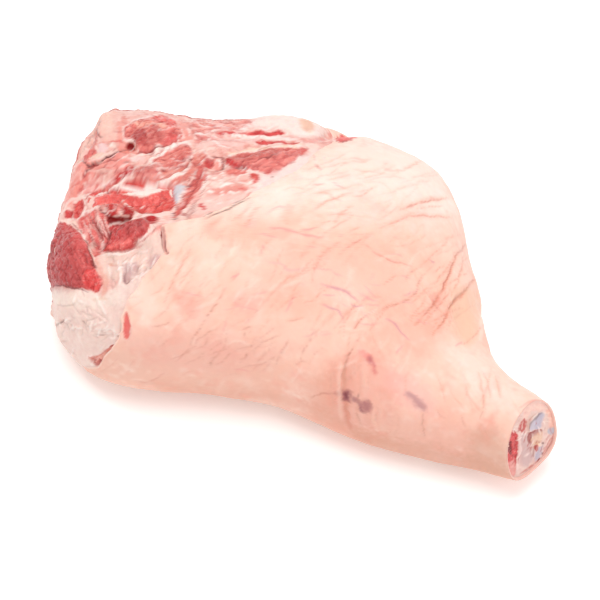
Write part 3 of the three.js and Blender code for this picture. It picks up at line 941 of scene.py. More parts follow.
        "214.6,170.6", 1.1, 0.9, -0.6, 0.6),
    marrow("red knob", "#de5a51", "251,175 255,173.6 259.4,176 259.6,181 256,184 251.6,182.6 250.4,178.6",
        soft=0.9, ragged=0.4, rise=1.6, dome=3),
    muscle("coral strip by the knob", "#e57e73", "226,170 244,169 246,174 232,176", run=0, soft=1.4),
    fascia("pink low patch", "#e59589", "209,191 220,187.6 234,185.6 246,185.4 248,188 240,190.6 226,193.6 "
        "212,196.4 208,194", run=-12, soft=1.8),
    fat("white below the fibre band", "#edc5ba", "186,206 206,196 232,196 246,192 240,200 214,212 190,214",
        soft=2.2),
    fat("cream right of the vessels", "#f2d5ce", "262,178 282,170 300,158 318,150 330,158 306,172 276,186 "
        "252,194", soft=3),
    # The vein hole's dark red: its own colour and painted shade in the hole.
    cavity("dark vein hole", "#910d13", "126,145.5 128.5,143.6 133,143.6 135.4,146.5 134.6,151 130,151.6 "
        "126.2,149.8", soft=0.8, ragged=0.3, rise=-2.6, dome=3, membrane=0.0),
    fascia("hollow of the left outline", "#e69f94", "66,118 90,118 98,132 90,148 78,162 62,160",
        soft=2, rise=-9, dome=9, strength=0.0),
    fascia("sharp top of the corner", "#ebaba1", "94,104 108,104 112,118 104,124 96,118",
        soft=2, rise=3.4, dome=12, strength=0.0),
    line("rim of the hole", "#f8dcd2", "122,140 127,142.2 133,141 137.5,144 137,149",
        2.0, 1.0, 1.4, 0.8, Tissue.GRISTLE),
    line("fascia over the loin", "#fbe6dd", "193,141 184,143.4 175,147 167,150.5 162.5,155 155,158.6 "
        "150.5,162 153,164.4 158,166", 3.2, 1.0, 1.6, 0.8),
    line("upper fascia", "#f8ddd2", "131,155 139,155.4 146,154.6 153,152.3 159,150.5 167,148.6 177,144",
        2.3, 1.0, 1.2, 0.8),
    line("grey fleck under the fascia", "#a9807a", "122,163 126,163 129,162", 1.4, 0.7, -0.6, 0.7),
    line("lavender under the hole", "#f2cdc8", "127,158 136,160 146,158", 3.4, 0.7, 0.4),
    line("first dark speck", "#9d3f3e", "162,170 165,171", 2.0, 0.9, -0.8, 0.8),
    line("second dark speck", "#9d3a3b", "181,160.5 184,160", 2.2, 0.9, -0.8, 0.8),
    line("third dark speck", "#7d2c2f", "189,158 190.5,161", 2.0, 0.9, -0.8, 0.8),
    line("dark foot of the coral muscle", "#c05f59", "172,167 180,166.5 189,165", 1.2, 0.8, -0.8, 0.7),
    line("fascia right of the loin eye", "#f8ded4", "192,163 186,170 180,175 172,179 163,182 154,184",
        3.6, 1.0, 1.3, 0.9),
    line("lit edge over the seam", "#f9d9cd", "88,161 95,160 101,158 108,154 118,149.5", 1.8, 0.6, 0.4),
    # The corner's seams: dark creases, painted shade under the overhanging lobe over the seams' own red.
    line("seam of the corner", "#651a1c", "79,159 84,161 89,165 96,163 101,161 106,157.5 115,153 125,150",
        1.9, 1.0, -2.2, 0.7),
    line("second seam of the corner", "#7f2f2e", "98,164.5 92,167 87,170.5 84,175 81,179",
        2.2, 0.95, -1.6, 0.8),
    line("thin end of the second seam", "#a9504a", "97,165 104,163 113,160 122,158", 1.1, 0.7, -1.0, 0.7),
    line("small dark crease", "#8a4644", "95,128 97,131 99.5,135.5 102.5,137", 1.7, 0.75, -0.5, 0.7),
    line("purple speck of the rim", "#8d4a50", "99,121 99.6,124 100,126", 1.8, 0.5, -0.2, 0.8),
    line("red line under the upper muscle", "#963331", "137,153 149,151 161,148 168,146",
        1.5, 0.95, -1.4, 0.7),
    line("red line of the corner", "#d9605b", "109,142 116,141 123,142", 1.6, 0.8, -0.5, 0.8),
    line("stripe of the upper muscle", "#eeb3a8", "144,130 154,126 165,125", 1.6, 0.7, 0.3),
    line("white cortex's far edge", "#fdf1ea", "115,189.5 122,188 130,189 138,190 146,190 153,189 "
        "161,185.5 168,182.5", 4.0, 0.85, 0.5, 0.8, Tissue.BONE),
    line("white line left of the arc", "#fae3d9", "130.5,174 126,179.5 121.6,185 114,189.6 108,192.6 "
        "98,195 90,197 86,202", 2.0, 1.0, 1.0, 0.7),
    line("white line to the second muscle", "#f8dcd0", "121.6,201.4 128,205 132,208.5 136,212.5 138,216",
        1.7, 1.0, 1.8, 0.7),
    line("white line over the second muscle", "#f4d8cf", "134,217 142,214 151,213 160,218 168,222",
        2.6, 0.9, 1.0),
    line("pale bridge under the band", "#f4d3c9", "150,215 162,214 175,214", 4.5, 0.8, 0.6),
    line("pale line left", "#f1cfc6", "61,221 66,206 74,198 86,195", 2.2, 0.8, 0.6),
    line("pale line at the left rim", "#f0c9bf", "72,199 80,198 88,203", 1.8, 0.7, 0.5),
    line("first frayed strand", "#f2cdc4", "97,212 100,219 104,228 106,236", 1.8, 0.85, 0.9),
    line("second frayed strand", "#efc3b9", "88,214 94,224 99,236 101,246", 1.4, 0.7, 0.7),
    line("third frayed strand", "#f0c8be", "82,220 89,231 94,243 96,252", 1.6, 0.75, 0.7),
    line("fourth frayed strand", "#f5d3c8", "99,214 98,220 99,227 102,233", 1.5, 0.9, 0.9, 0.7),
    line("fifth frayed strand", "#f2c9bd", "104,216 105,222 108,229", 1.3, 0.8, 0.7, 0.7),
    line("sixth frayed strand", "#e8b0a5", "86,217 91,225 97,232 99,240", 1.3, 0.7, 0.7, 0.7),
    line("second gap between the strands", "#9a3231", "95,215 96,224 100,233 104,236", 1.2, 0.8, -1.2, 0.7),
    line("third gap between the strands", "#a03a38", "103,219 107,230 107,237", 1.2, 0.75, -1.2, 0.7),
    gristle("pale knot of the strands", "#e0b1a5", "90,241 95,240 96,247 92,249",
        soft=1.0, rise=0.8, dome=2),
    line("gap between the strands", "#a33f3d", "92,218 97,228 101,240", 1.4, 0.7, -1.2),
    line("gap beside the round muscle", "#8e2c2d", "85,238 89,249 92,260 93,268", 1.6, 0.9, -1.8, 0.7),
    line("gap under the strands", "#8f3936", "90,259 93,264 96,269", 2.4, 0.8, -1.5),
    line("seam before the second muscle", "#7d1f22", "110,229 107.5,238 104,246 98,251.5",
        2.0, 0.95, -2.4, 0.8),
    line("dark line under the band", "#c6544c", "100,203 121,205 141,212 160,211 170,208", 1.8, 0.7, -1.0),
    line("arc of the strips", "#cf7d74", "190,126 195,135 206,140 220,141", 1.6, 0.8, -0.8),
    line("inner arc of the strips", "#e3978c", "200,126 204,133 214,137", 1.8, 0.6, -0.3),
    line("first thin line", "#dc948a", "209,147 220,145 231,146", 1.1, 0.7),
    line("second thin line", "#dc948a", "223,142 236,142 249,144", 1.1, 0.7),
    line("line in the wedge", "#8e3936", "278,154 271,157 264,159.4 257,161.4", 1.1, 0.9, -1.0, 0.7),
    line("dark floor of the wedge's end", "#7c1c20", "234,166.4 240,168 250,168.6", 1.6, 0.8, -1.0, 0.8),
    line("arc over the vessels", "#8f3c3a", "211,156.4 217,157 222.5,158.7 227,160.4", 1.2, 0.9, -0.8, 0.7),
    line("dark speck under the wedge", "#8a5a50", "272,177.6 274,175.8", 1.4, 0.8, -0.6, 0.7),
    line("dark top of the wedge", "#c8655d", "225,157 236,157 250,158", 1.4, 0.7, -0.6),
    line("vessel ring", "#fae6de", "215.4,161 219,160 221.6,163.4 219.6,167.4", 1.4, 0.8, 0.4),
    line("red dashes", "#cf6d66", "209,175 215,173 221,174", 1.6, 0.7),
    line("ring by the knob", "#f7dbd1", "259,172 264,176 263,184 257,187", 1.8, 0.85, 0.6),
    line("red streak below the band", "#cf3639", "198.6,204 201,206 206,208.4", 2.6, 1.0, -0.6, 0.8),
    line("dark foot of the fibre band", "#9f2a2c", "181,214 185,214.6 188,215", 1.8, 0.8, -0.8, 0.8),
    line("dark eye over the gristle", "#8c2a2d", "187,185 189.5,187.4", 1.8, 0.85, -0.8, 0.8),
    line("first fibre of the band", "#9e3a39", "202,168 198,180 191,193 184,205", 1.2, 0.75, -0.9, 0.7),
    line("second fibre of the band", "#f0a59b", "206,172 203,184 197,194 190,204", 1.2, 0.6, 0.5, 0.7),
    line("third fibre of the band", "#a24240", "207,178 204,190 198,199", 1.0, 0.7, -0.6, 0.7),
    line("dark spot left of the rind", "#7d2a2c", "172,213.6 174.6,214", 1.8, 0.85, -1.0, 0.7),
    line("second spot left of the rind", "#7d3a38", "173,218.4 178,217.4", 1.4, 0.8, -0.8, 0.7),
    line("red line in the low patch", "#d5544f", "238.5,187.4 242.9,190.4 247.4,188", 1.6, 0.85, -0.4, 0.8),
    line("shadow under the rind's far part", "#58352f", "203,218.5 215,212.4 227,207 235,203 245,198.4 "
        "252,195", 1.6, 0.95, -1.8, 0.7),
    line("grey line in the fat", "#c6aca0", "58,305 66,306 76,303", 1.1, 0.6, -0.4),
    line("tan line in the fat", "#e0b9a2", "94,300 101,298 108,300", 2.0, 0.5),
    line("dark fold of the fat", "#9d7a70", "53,331 56,325 64,320", 1.8, 0.8, -1.2),
    line("upright line of the fat", "#dcb5a6", "121,316 120,326 121,338", 1.3, 0.6, -0.4),
    line("small cream mark", "#dc9f90", "315,166 319,167 321,170", 2.2, 0.7),
    line("second cream mark", "#e2aba0", "325,182 331,181 336,184", 1.8, 0.6),
)

# The exposed pelvic bone.
AITCH_MARKS = (
    marrow("red marrow", "#e2564f", "94,197 104,193 114,192 124,194 136,197 146,196 156,192 166,188 "
        "174,192 176,206 166,212 136,218 96,212", soft=1.3, membrane=0.0),
    line("dark grain of the marrow", "#9c2226", "124,206 132,209.5 141,210 149,208.5 158,208",
        3.2, 0.85, -0.8, 1.2),
    line("grain of the marrow's right", "#b2302f", "160,194 164,199 168,203", 2.4, 0.6, -0.4, 1.6),
    gristle("gristle end", "#d3ccd4", "173.5,187 179.6,185.8 185,189 183.6,195.5 180.5,201.5 177.8,204.5 "
        "174.5,198", soft=0.7, ragged=0.25),
    line("cream round the gristle", "#f5dccf", "171,187 171.5,193 173,199 176,205.5", 2.2, 0.9, 0.3, 0.8),
    line("white cortex", "#f8e2d8", "94,196 106,193 115,190 122,189.5 130,191.5 138,192.5 146,192 "
        "153,190.5 161,187 170,184", 5.8, 1.0, 0.3, 0.8, Tissue.BONE),
    line("lower cortex", "#f0bdb0", "100,205 120,205 136,213 150,212 166,211 172,204", 1.8, 0.6, 0.3),
)

# Creases, folds, veins and bruises of the rind.
# The dark lines of the creases and folds are painted shade in them.
SKIN_MARKS = (
    skin("flush of the middle", "#f5b9a4", "180,300 240,270 330,300 360,350 330,390 250,380 190,350",
        soft=26, ragged=8, strength=0.42),
    skin("flush of the knee", "#f6bea9", "330,225 380,215 440,240 452,280 420,330 370,290 340,260",
        soft=24, ragged=8, strength=0.45),
    skin("flush near the cut", "#f7c3ae", "170,235 230,215 270,225 240,270 190,270 172,255",
        soft=18, ragged=6, strength=0.4),
    skin("pale band across", "#fbdccb", "250,275 330,285 400,300 430,280 400,262 330,262 270,255",
        soft=16, ragged=6, strength=0.35),
    skin("flush over the middle", "#f2a792", "262,240 330,240 390,250 420,285 395,322 350,302 300,300 "
        "262,285", soft=22, ragged=8, strength=0.45),
    skin("flush right of the bruise", "#f2a894", "365,330 420,308 446,298 450,330 420,362 390,352",
        soft=14, ragged=6, strength=0.45),
    skin("flush beside the cut's corner", "#f4ae98", "240,210 262,207 270,235 250,255 236,238",
        soft=10, ragged=4, strength=0.55),
    skin("flush of the near bend", "#e2957d", "300,378 345,372 352,420 385,440 350,445 310,418",
        soft=12, ragged=5, strength=0.4),
    skin("flush under the third bruise", "#eba898", "380,415 440,412 490,442 470,475 410,460",
        soft=14, ragged=5, strength=0.3),
    skin("pale left of the bend", "#fad8c7", "262,322 340,318 352,350 310,360 262,352",
        soft=16, ragged=6, strength=0.35),
    skin("pink of the near wall", "#eeb4a5", "120,330 180,330 260,345 260,368 180,372 136,360",
        soft=12, ragged=5, strength=0.5),
    skin("pink of the upper right", "#fadbd0", "330,190 400,172 440,200 440,228 380,228 330,218",
        soft=14, ragged=5, strength=0.45),
    skin("first rosy blotch", "#ee9a8e", "200,345 214,338 228,344 236,352 222,358 206,354",
        soft=6, ragged=4, strength=0.2),
    skin("second rosy blotch", "#ef978a", "176,298 190,290 200,300 196,316 182,314",
        soft=7, ragged=4, strength=0.4),
    skin("third rosy blotch", "#ef9c90", "232,300 246,292 262,298 254,312 238,312",
        soft=7, ragged=4, strength=0.35),
    skin("flush round the bruises", "#e69d8c", "330,362 368,348 394,368 398,410 372,430 334,424",
        soft=12, ragged=5, strength=0.5),
    # Painted shade: the lower wall of the shank darker, in tan.
    skin("tan of the lower shank", "#cf957e", "352,428 400,440 460,452 506,466 512,486 440,472 360,446",
        soft=8, ragged=3, strength=0.55),
    # Painted shade: the near wall darker in tan just above where it meets the floor.
    skin("tan of the near foot", "#dca18c", "150,382 230,386 300,398 350,424 330,424 270,404 180,398",
        soft=8, ragged=3, strength=0.5),
    skin("pink halo of the third bruise", "#f7b3aa", "384,374 408,372 430,392 434,412 410,410 394,394",
        soft=9, ragged=4, strength=0.5),
    skin("cream top", "#fbe9df", "225,205 300,168 345,136 420,150 450,190 455,215 380,195 300,205 250,218",
        soft=16, ragged=5, strength=0.58),
    skin("cream knee", "#fce4d8", "440,200 462,235 480,290 476,330 455,290 440,250 420,225",
        soft=12, ragged=4, strength=0.15),
    skin("pale shank top", "#fbe0d4", "440,345 480,350 505,380 530,400 500,410 470,385",
        soft=12, ragged=4, strength=0.55),
    # Painted shade in the knee's pocket, which is also sunk.
    skin("tan pocket of the knee", "#edbfa4", "452,290 466,287 478,294 479,318 474,342 462,340 452,318",
        soft=6, ragged=2, rise=-1.2, dome=6, strength=0.8),
    # Painted shade: the lower skin before the hock darker, in tan.
    skin("tan before the hock", "#d6a088", "470,430 500,430 508,480 470,474",
        soft=10, ragged=3, strength=0.5),
    skin("red bruise", "#dd7d78", "366,354 370,355 374,361 376,368 376,374 373,372 371,365 366,360",
        soft=2.6, ragged=1.2, strength=0.85),
    skin("pink start of the red bruise", "#f09a90", "359,350 365,351 368,356 363,357",
        soft=3, ragged=1.5, strength=0.8),
    skin("darker middle of the red bruise", "#b8676a", "368,357 372,358 373,363 370,364",
        soft=2, ragged=1, strength=0.6),
    skin("first purple bruise", "#9a5258", "341,390.5 349,390 350.5,396 349,401 343,400",
        soft=2.6, ragged=1.6, strength=0.9),
    skin("core of the first bruise", "#6d2a34", "344,392 348,392.5 348,397 345,397",
        soft=2, ragged=1.4, strength=0.6),
    skin("faint start of the bruises", "#bf8580", "335,391.5 341,392 341,396 336,396",
        soft=2.4, ragged=1, strength=0.7),
    skin("bridge of the bruises", "#ab6f70", "350,395 357,397 358,402 351,402",
        soft=2.4, ragged=1.4, strength=0.8),
    line("line to the bruises", "#cf8676", "310,397.5 318,394.5 328,393 338,393.5", 1.3, 0.6, -0.3, 1.0),
    skin("second purple bruise", "#ab6b6d", "357.5,400 364,400 370.5,402 371,408 366,412.5 359.5,410",
        soft=2.8, ragged=1.6, strength=0.85),
    line("dark edge of the second bruise", "#8a4a50", "358,393 358,401 360,409 364,413",
        1.4, 0.6, -0.3, 1.0),
    skin("third purple bruise", "#bf8b8b", "405,391 412,391.5 419,398 426,405 426,411.5 420,411 413,402 "
        "407,396", soft=3.6, ragged=1.6, strength=0.8),
    skin("blotch by the knee crease", "#e8a190", "430,294 438,293 442,301 436,308 430,304",
        soft=4, ragged=2, strength=0.6),
    fascia("red slit in the rind", "#e56f68", "126.5,312 129,318 131,327 130.5,335 127,340 124,336 "
        "123.8,326 125,317", soft=0.9, ragged=0.3, rise=-1.5, dome=2),
    muscle("red smear at the flank", "#e2645f", "334,139.5 340,136 348,134 358,134 356,138 344,141",
        run=-8, soft=0.8, ragged=0.4, membrane=0.0),
    line("dark line under the smear", "#a84a44", "336,140.4 344,141 352,139.6", 1.1, 0.8, -0.6, 0.7),
    # Painted shadow: a thin dark line where the rind's lip stands over the fat.
    line("shadow line at the rind's lip", "#5e3f38", "204,219 215.5,213.4 228,208 236,204 245,199.6 251,197",
        1.0, 0.85, -0.6, 0.7),
    line("pink dash at the top", "#eaa39b", "316,164 318,167 321,170", 2.4, 0.7, 0.0, 1.0),
    line("second pink dash", "#e5a39b", "313,185 318,184.6 324,184", 1.8, 0.6, -0.2, 1.0),
    line("top crease", "#d68b7c", "400,211 411,206 422,202 434,199 446,198",
        1.3, 0.8, -0.8, 0.8, valley_shade=5.5),
    line("faint crease at the top", "#eabbaa", "311,194 330,190 346,188 362,185",
        0.8, 0.50, -0.5, 0.8, valley_shade=4.6),
    line("faint crease beside it", "#eabbaa", "392,191 404,187 416,183 430,179",
        0.8, 0.50, -0.5, 0.8, valley_shade=4.6),
    line("long upper crease", "#d99484", "380,228 396,221 412,216 428,215 441,216 453,217",
        1.0, 0.7, -0.6, 0.8, valley_shade=4.9),
    line("crease at the middle", "#d08a7a", "339,255 348,247 359,241 371,235",
        1.1, 0.7, -0.8, 0.8, valley_shade=5.2),
    line("crease left of the veins", "#d58f80", "312,283 314,270 319,259 328,249 341,241",
        1.0, 0.65, -0.7, 0.8, valley_shade=4.9),
    line("crease under the middle", "#d68f82", "366,245 378,254 391,261 412,266",
        1.0, 0.65, -0.7, 0.8, valley_shade=4.9),
    line("lower crease", "#d08878", "376,316 383,310 391,306 403,301 414,295 423,276",
        1.1, 0.7, -0.8, 0.8, valley_shade=4.9),
    line("first red crease", "#cc7560", "414,326 424,315 434,304 443,289 449,275 455,260 466,244",
        1.7, 0.8, -1.3, 1.1, valley_shade=5.0),
    line("second red crease", "#d07c64", "432,336 443,322 452,306 463,293 475,278",
        1.7, 0.8, -1.3, 1.1, valley_shade=5.0),
    line("crease between them", "#d58f7d", "424,322 434,312 446,297", 1.0, 0.65, -0.7, 0.8, valley_shade=4.6),
    line("rim of the pocket", "#fadccf", "479,290 482,306 482,324 480,341", 3.0, 0.7, 1.4, 1.6),
    line("left of the pocket", "#cf9a80", "449,318 453,304 461,293 470,287",
        0.9, 0.60, -1.0, 1.0, valley_shade=4.9),
    line("crease at the near bend", "#d08878", "353,333 357,325 362,319 375,309",
        1.1, 0.7, -0.8, 0.8, valley_shade=5.2),
    # The long fold and the folds beside it: tan lines painted shade in the folds, pale lines painted highlight
    # on the ridges between them.
    line("long fold", "#cf8878", "359.8,335.3 355.7,344 348.2,354.8 344.9,363 343.4,371",
        1.1, 0.8, -1.0, 0.8, valley_shade=5.0),
    line("soft foot of the long fold", "#d99a82", "345,362 343.2,373 343.2,383 345,392",
        3.2, 0.6, -1.1, 1.4),
    line("orange fold below the bruise", "#d8866e", "346,400 346,412 347,421 352,431", 3.6, 0.6, -1.1, 1.6),
    line("ridge right of the long fold", "#f8d3bf", "366,366 365,376 365,388", 5.0, 0.22, 1.2, 2.2),
    line("ridge below the second bruise", "#f5c6b2", "374,408 374,418 377,430", 3.4, 0.5, 0.9, 1.6),
    line("fold left of the ridge", "#e0a48f", "333,372 331,384 332,398 334,412",
        1.6, 0.5, -0.8, 1.4, valley_shade=3.5),
    line("ridge left of the long fold", "#fad7c5", "340,362 339,374 339,388 340,404 341,420",
        3.6, 0.4, 0.8, 1.6),
    line("second fold", "#d99c88", "356,404 357,414 360,426", 1.6, 0.5, -1.0, 1.2, valley_shade=4.0),
    line("ridge of the second fold", "#f5c3b0", "383,434 381,418 381,402", 3.4, 0.35, 0.8, 2.0),
    line("third fold", "#d59a87", "425,437 423,426 424,414", 1.0, 0.55, -1.2, 1.0, valley_shade=5.2),
    line("first shank line", "#dba590", "479,372 482,388 483,404 480,420",
        0.9, 0.60, -1.0, 0.8, valley_shade=4.9),
    line("second shank line", "#dba590", "484,372 488,384 490,398", 0.8, 0.55, -0.8, 0.8, valley_shade=4.4),
    line("third shank line", "#dba590", "495,374 498,384 500,397", 0.8, 0.55, -0.8, 0.8, valley_shade=4.4),
    line("first diagonal", "#cf8c7c", "189,347 200,328 213,308 226,288", 0.9, 0.65, -0.5, 0.7, valley_shade=4.1),
    line("second diagonal", "#d4927f", "164,302 172,284 181,266 190,249", 0.8, 0.6, -0.5, 0.7, valley_shade=4.1),
    line("third diagonal", "#d08c7a", "244,227 251,216 259,206", 0.9, 0.65, -0.6, 0.7, valley_shade=4.4),
    line("fourth diagonal", "#e0ab98", "205,215 203,228 199,240", 0.6, 0.45, -0.4, 0.7, valley_shade=3.9),
    line("fifth diagonal", "#e0ab98", "213,214 212,226 208,240", 0.6, 0.45, -0.4, 0.7, valley_shade=3.9),
    line("sixth diagonal", "#dca693", "240,330 262,305 280,288 296,276", 0.7, 0.40, -0.4, 0.8, valley_shade=4.1),
    line("seventh diagonal", "#dca693", "292,280 300,266 304,250 316,238",
        0.7, 0.45, -0.5, 0.8, valley_shade=4.2),
    line("eighth diagonal", "#dca693", "300,350 316,332 330,318 342,300", 0.8, 0.40, -0.5, 1.0, valley_shade=4.6),
    line("pink vein", "#e58a8a", "268,228 284,229 300,233 316,237 324,236", 1.8, 0.6, 0.0, 1.4),
    line("first violet vein", "#c78492", "320,283 332,287 344,291 352,296 359,301", 1.8, 0.65, 0.0, 1.4),
    line("second violet vein", "#c78492", "322,305 330,308 338,310 341,315 344,321", 1.6, 0.6, 0.0, 1.4),
    line("third violet vein", "#c78492", "385,319 393,322 401,332 410,340", 1.6, 0.6, 0.0, 1.4),
    line("fourth violet vein", "#d69aa0", "268,262 280,264 290,270 304,268", 1.6, 0.4, 0.0, 1.4),
    line("small mark at the top", "#eab6a8", "352,157 364,160 372,159", 1.6, 0.5, 0.0, 1.2),
    line("pink rim of the hock", "#e79a8e", "520,408 528,403 538,401.6 548,405 555,412",
        2.4, 0.6, 0.0, 1.4),
    line("lower rim of the hock", "#e29487", "556,428 556,446 549,460 538,470 524,477", 2.4, 0.6, 0.0, 1.4),
    fascia("slit at the rind's corner", "#cc9186", "160,226 164,226.5 165.6,236 166,246 168.6,254 165,253 "
        "162,244 159,236", soft=0.9, ragged=0.4, rise=-0.8, dome=2),
    line("dark foot of that slit", "#8a534d", "164.6,238 165.4,246 168,254", 1.0, 0.75, -0.8, 0.7),
    line("second small mark", "#eab6a8", "384,168 392,171 401,169", 1.6, 0.5, 0.0, 1.2),
)


@dataclass(frozen=True)
class Hairlines:
    """Many faint short lines of one area, strewn at random round one direction."""

    name: str
    centre: tuple[float, float]
    spread: tuple[float, float]
    run: float
    count: int
    length: float
    seed: int
    colour: str = "#dda18e"
    turn: float = 14.0
    width: float = 0.75
    faint: float = 0.12
    strong: float = 0.46
    rise: float = -0.45
    # How far the painted shade beside each crease reaches, in pixels.
    valley_shade: float = 3.2

    def lines(self) -> list[Line]:
        """The creases: each a gently bent run of four corners."""
        rng = np.random.default_rng(self.seed)
        made = []
        for k in range(self.count):
            run = math.radians(self.run + rng.normal(0.0, self.turn))
            middle = np.array(self.centre) + rng.normal(0.0, 1.0, 2) * self.spread
            half = 0.5 * self.length * rng.uniform(0.4, 1.3)
            bend = rng.normal(0.0, 0.12 * half)
            along, across = np.array([math.cos(run), math.sin(run)]), np.array([-math.sin(run), math.cos(run)])
            shares = ((-1.0, 0.0), (-0.3, 1.0), (0.4, 0.8), (1.0, -0.4))
            path = tuple(tuple(middle + along * half * a + across * bend * b) for a, b in shares)
            strength = rng.uniform(self.faint, self.strong)
            name = f"{self.name} {k}"
            made.append(Line(name, self.colour, path, self.width, strength, self.rise, 0.7, valley_shade=self.valley_shade))
        return made


def strewn(sets: tuple[Hairlines, ...]) -> tuple[Line, ...]:
    """The lines of several sets."""
    return tuple(line for one in sets for line in one.lines())


# Most sets are faint creases, each a dark line with a soft band of painted shade beside it.
HAIRLINES = (
    Hairlines("left half", (190, 285), (42, 38), -58.0, 40, 34.0, 11, strong=0.55),
    Hairlines("below the cut", (225, 225), (26, 14), -66.0, 16, 20.0, 12),
    Hairlines("middle", (300, 290), (45, 35), -48.0, 52, 32.0, 13, "#d89684", strong=0.6),
    Hairlines("upper right", (385, 205), (42, 26), -18.0, 34, 40.0, 14, "#dc9c8a", strong=0.55),
    Hairlines("knee", (440, 290), (18, 26), -52.0, 24, 38.0, 15, "#da9079", strong=0.55),
    Hairlines("near bend", (355, 385), (22, 26), -84.0, 18, 34.0, 16),
    Hairlines("lower wall", (220, 358), (70, 16), -34.0, 34, 24.0, 17, "#d48f80", strong=0.55),
    Hairlines("shank", (470, 400), (26, 20), 66.0, 12, 30.0, 18),
    Hairlines("pink of the middle", (290, 280), (75, 45), -10.0, 34, 16.0, 19, "#e58a90", 40.0, 1.4,
        0.15, 0.5, 0.0, 0.0),
    Hairlines("top", (340, 175), (40, 12), -8.0, 22, 26.0, 20, "#e6a898"),
    Hairlines("violet threads", (372, 300), (40, 22), 20.0, 16, 13.0, 21, "#c98796", 24.0, 1.3, 0.15,
        0.55, 0.0, 0.0),
    Hairlines("pale wrinkles", (290, 285), (90, 50), -44.0, 60, 24.0, 22, "#fde2d5", 22.0, 2.8, 0.08,
        0.28, 0.25, 0.0),
)

# The dark sets in seams, gaps, wrinkles and folds are painted shade there over the flesh's own colour.
CUT_LINES = (
    Hairlines("pale membranes", (135, 165), (34, 24), -28.0, 36, 14.0, 31, "#fae6de", 26.0, 1.2, 0.3,
        0.8, 0.6, 0.0),
    Hairlines("red seams", (140, 162), (32, 22), -26.0, 34, 10.0, 32, "#ab4644", 26.0, 0.9, 0.3, 0.8,
        -0.6, 0.0),
    Hairlines("strands", (96, 232), (7, 11), 64.0, 14, 15.0, 33, "#f0beb3", 12.0, 1.1, 0.3, 0.75, 0.8, 0.0),
    Hairlines("gaps between strands", (96, 232), (7, 11), 64.0, 14, 12.0, 34, "#93292b", 14.0, 0.9,
        0.4, 0.9, -0.9, 0.0),
    Hairlines("fibres behind the strips", (215, 130), (24, 7), 2.0, 24, 18.0, 35, "#d8857c", 9.0, 0.8,
        0.3, 0.7, -0.4, 0.0),
    Hairlines("pale fibres there", (220, 133), (28, 8), 2.0, 20, 20.0, 36, "#fbe6df", 9.0, 1.0, 0.3,
        0.8, 0.4, 0.0),
    Hairlines("wrinkles of the near fat", (86, 327), (20, 13), 10.0, 34, 13.0, 37, "#cdaea4", 50.0,
        0.9, 0.25, 0.6, -0.8, 0.0),
    Hairlines("pale folds of the near fat", (88, 326), (20, 13), 20.0, 26, 13.0, 38, "#faeae2", 50.0,
        1.6, 0.3, 0.7, 0.9, 0.0),
    Hairlines("folds of the upper fat", (134, 267), (14, 8), -60.0, 22, 11.0, 39, "#c9a096", 34.0, 0.9,
        0.3, 0.7, -0.8, 0.0),
    Hairlines("pale folds there", (134, 269), (14, 7), -60.0, 20, 12.0, 40, "#fbe9e1", 34.0, 1.6, 0.3,
        0.8, 0.9, 0.0),
    Hairlines("scraps below the wedge", (228, 186), (16, 9), -14.0, 26, 8.0, 41, "#df8f84", 34.0, 1.4,
        0.3, 0.7, -0.3, 0.0),
    Hairlines("cream scraps there", (228, 186), (17, 10), -14.0, 26, 8.0, 42, "#faece4", 34.0, 1.6,
        0.4, 0.9, 0.5, 0.0),
    Hairlines("dark grain of the bed", (138, 200), (22, 5), 20.0, 46, 5.0, 44, "#a82a2a", 60.0, 1.5,
        0.3, 0.75, -0.7, 0.0),
    Hairlines("pale grain of the bed", (138, 200), (22, 5), 20.0, 40, 4.0, 45, "#f8a49b", 60.0, 1.3,
        0.3, 0.75, 0.5, 0.0),
    Hairlines("red streaks left of the arc", (94, 178), (10, 8), -24.0, 34, 13.0, 46, "#d1534e", 14.0,
        1.5, 0.3, 0.75, -0.5, 0.0),
    Hairlines("pale streaks left of the arc", (94, 178), (11, 9), -24.0, 26, 12.0, 47, "#f4c4b8", 14.0,
        1.3, 0.3, 0.75, 0.5, 0.0),
    Hairlines("grain of the second muscle", (128, 236), (13, 7), -42.0, 34, 9.0, 48, "#a83432", 12.0,
        1.0, 0.3, 0.7, -0.4, 0.0),
    Hairlines("grain of the round muscle", (68, 258), (10, 16), 62.0, 34, 9.0, 49, "#a23a3b", 12.0,
        1.0, 0.25, 0.6, -0.4, 0.0),
    Hairlines("grain of the wedge", (264, 162), (17, 5), -16.0, 30, 10.0, 50, "#b04a46", 12.0, 1.0,
        0.3, 0.7, -0.4, 0.0),
    Hairlines("streaks of the upper muscle", (152, 134), (14, 8), -25.0, 34, 10.0, 51, "#b94743", 18.0,
        1.1, 0.3, 0.7, -0.4, 0.0),
    Hairlines("fibres of the band", (192, 190), (6, 14), -62.0, 16, 14.0, 43, "#a2403e", 8.0, 0.8, 0.3,
        0.7, -0.5, 0.0),
)

# The sawn hock.
HOCK_LINES = (
    Hairlines("red threads of the hock", (532, 440), (11, 18), -60.0, 26, 8.0, 61, "#b95a54", 30.0,
        1.0, 0.3, 0.7, -0.3, 0.0),
    Hairlines("pale threads of the hock", (532, 440), (12, 19), -60.0, 24, 8.0, 62, "#fbe4da", 30.0,
        1.1, 0.3, 0.7, 0.3, 0.0),
)

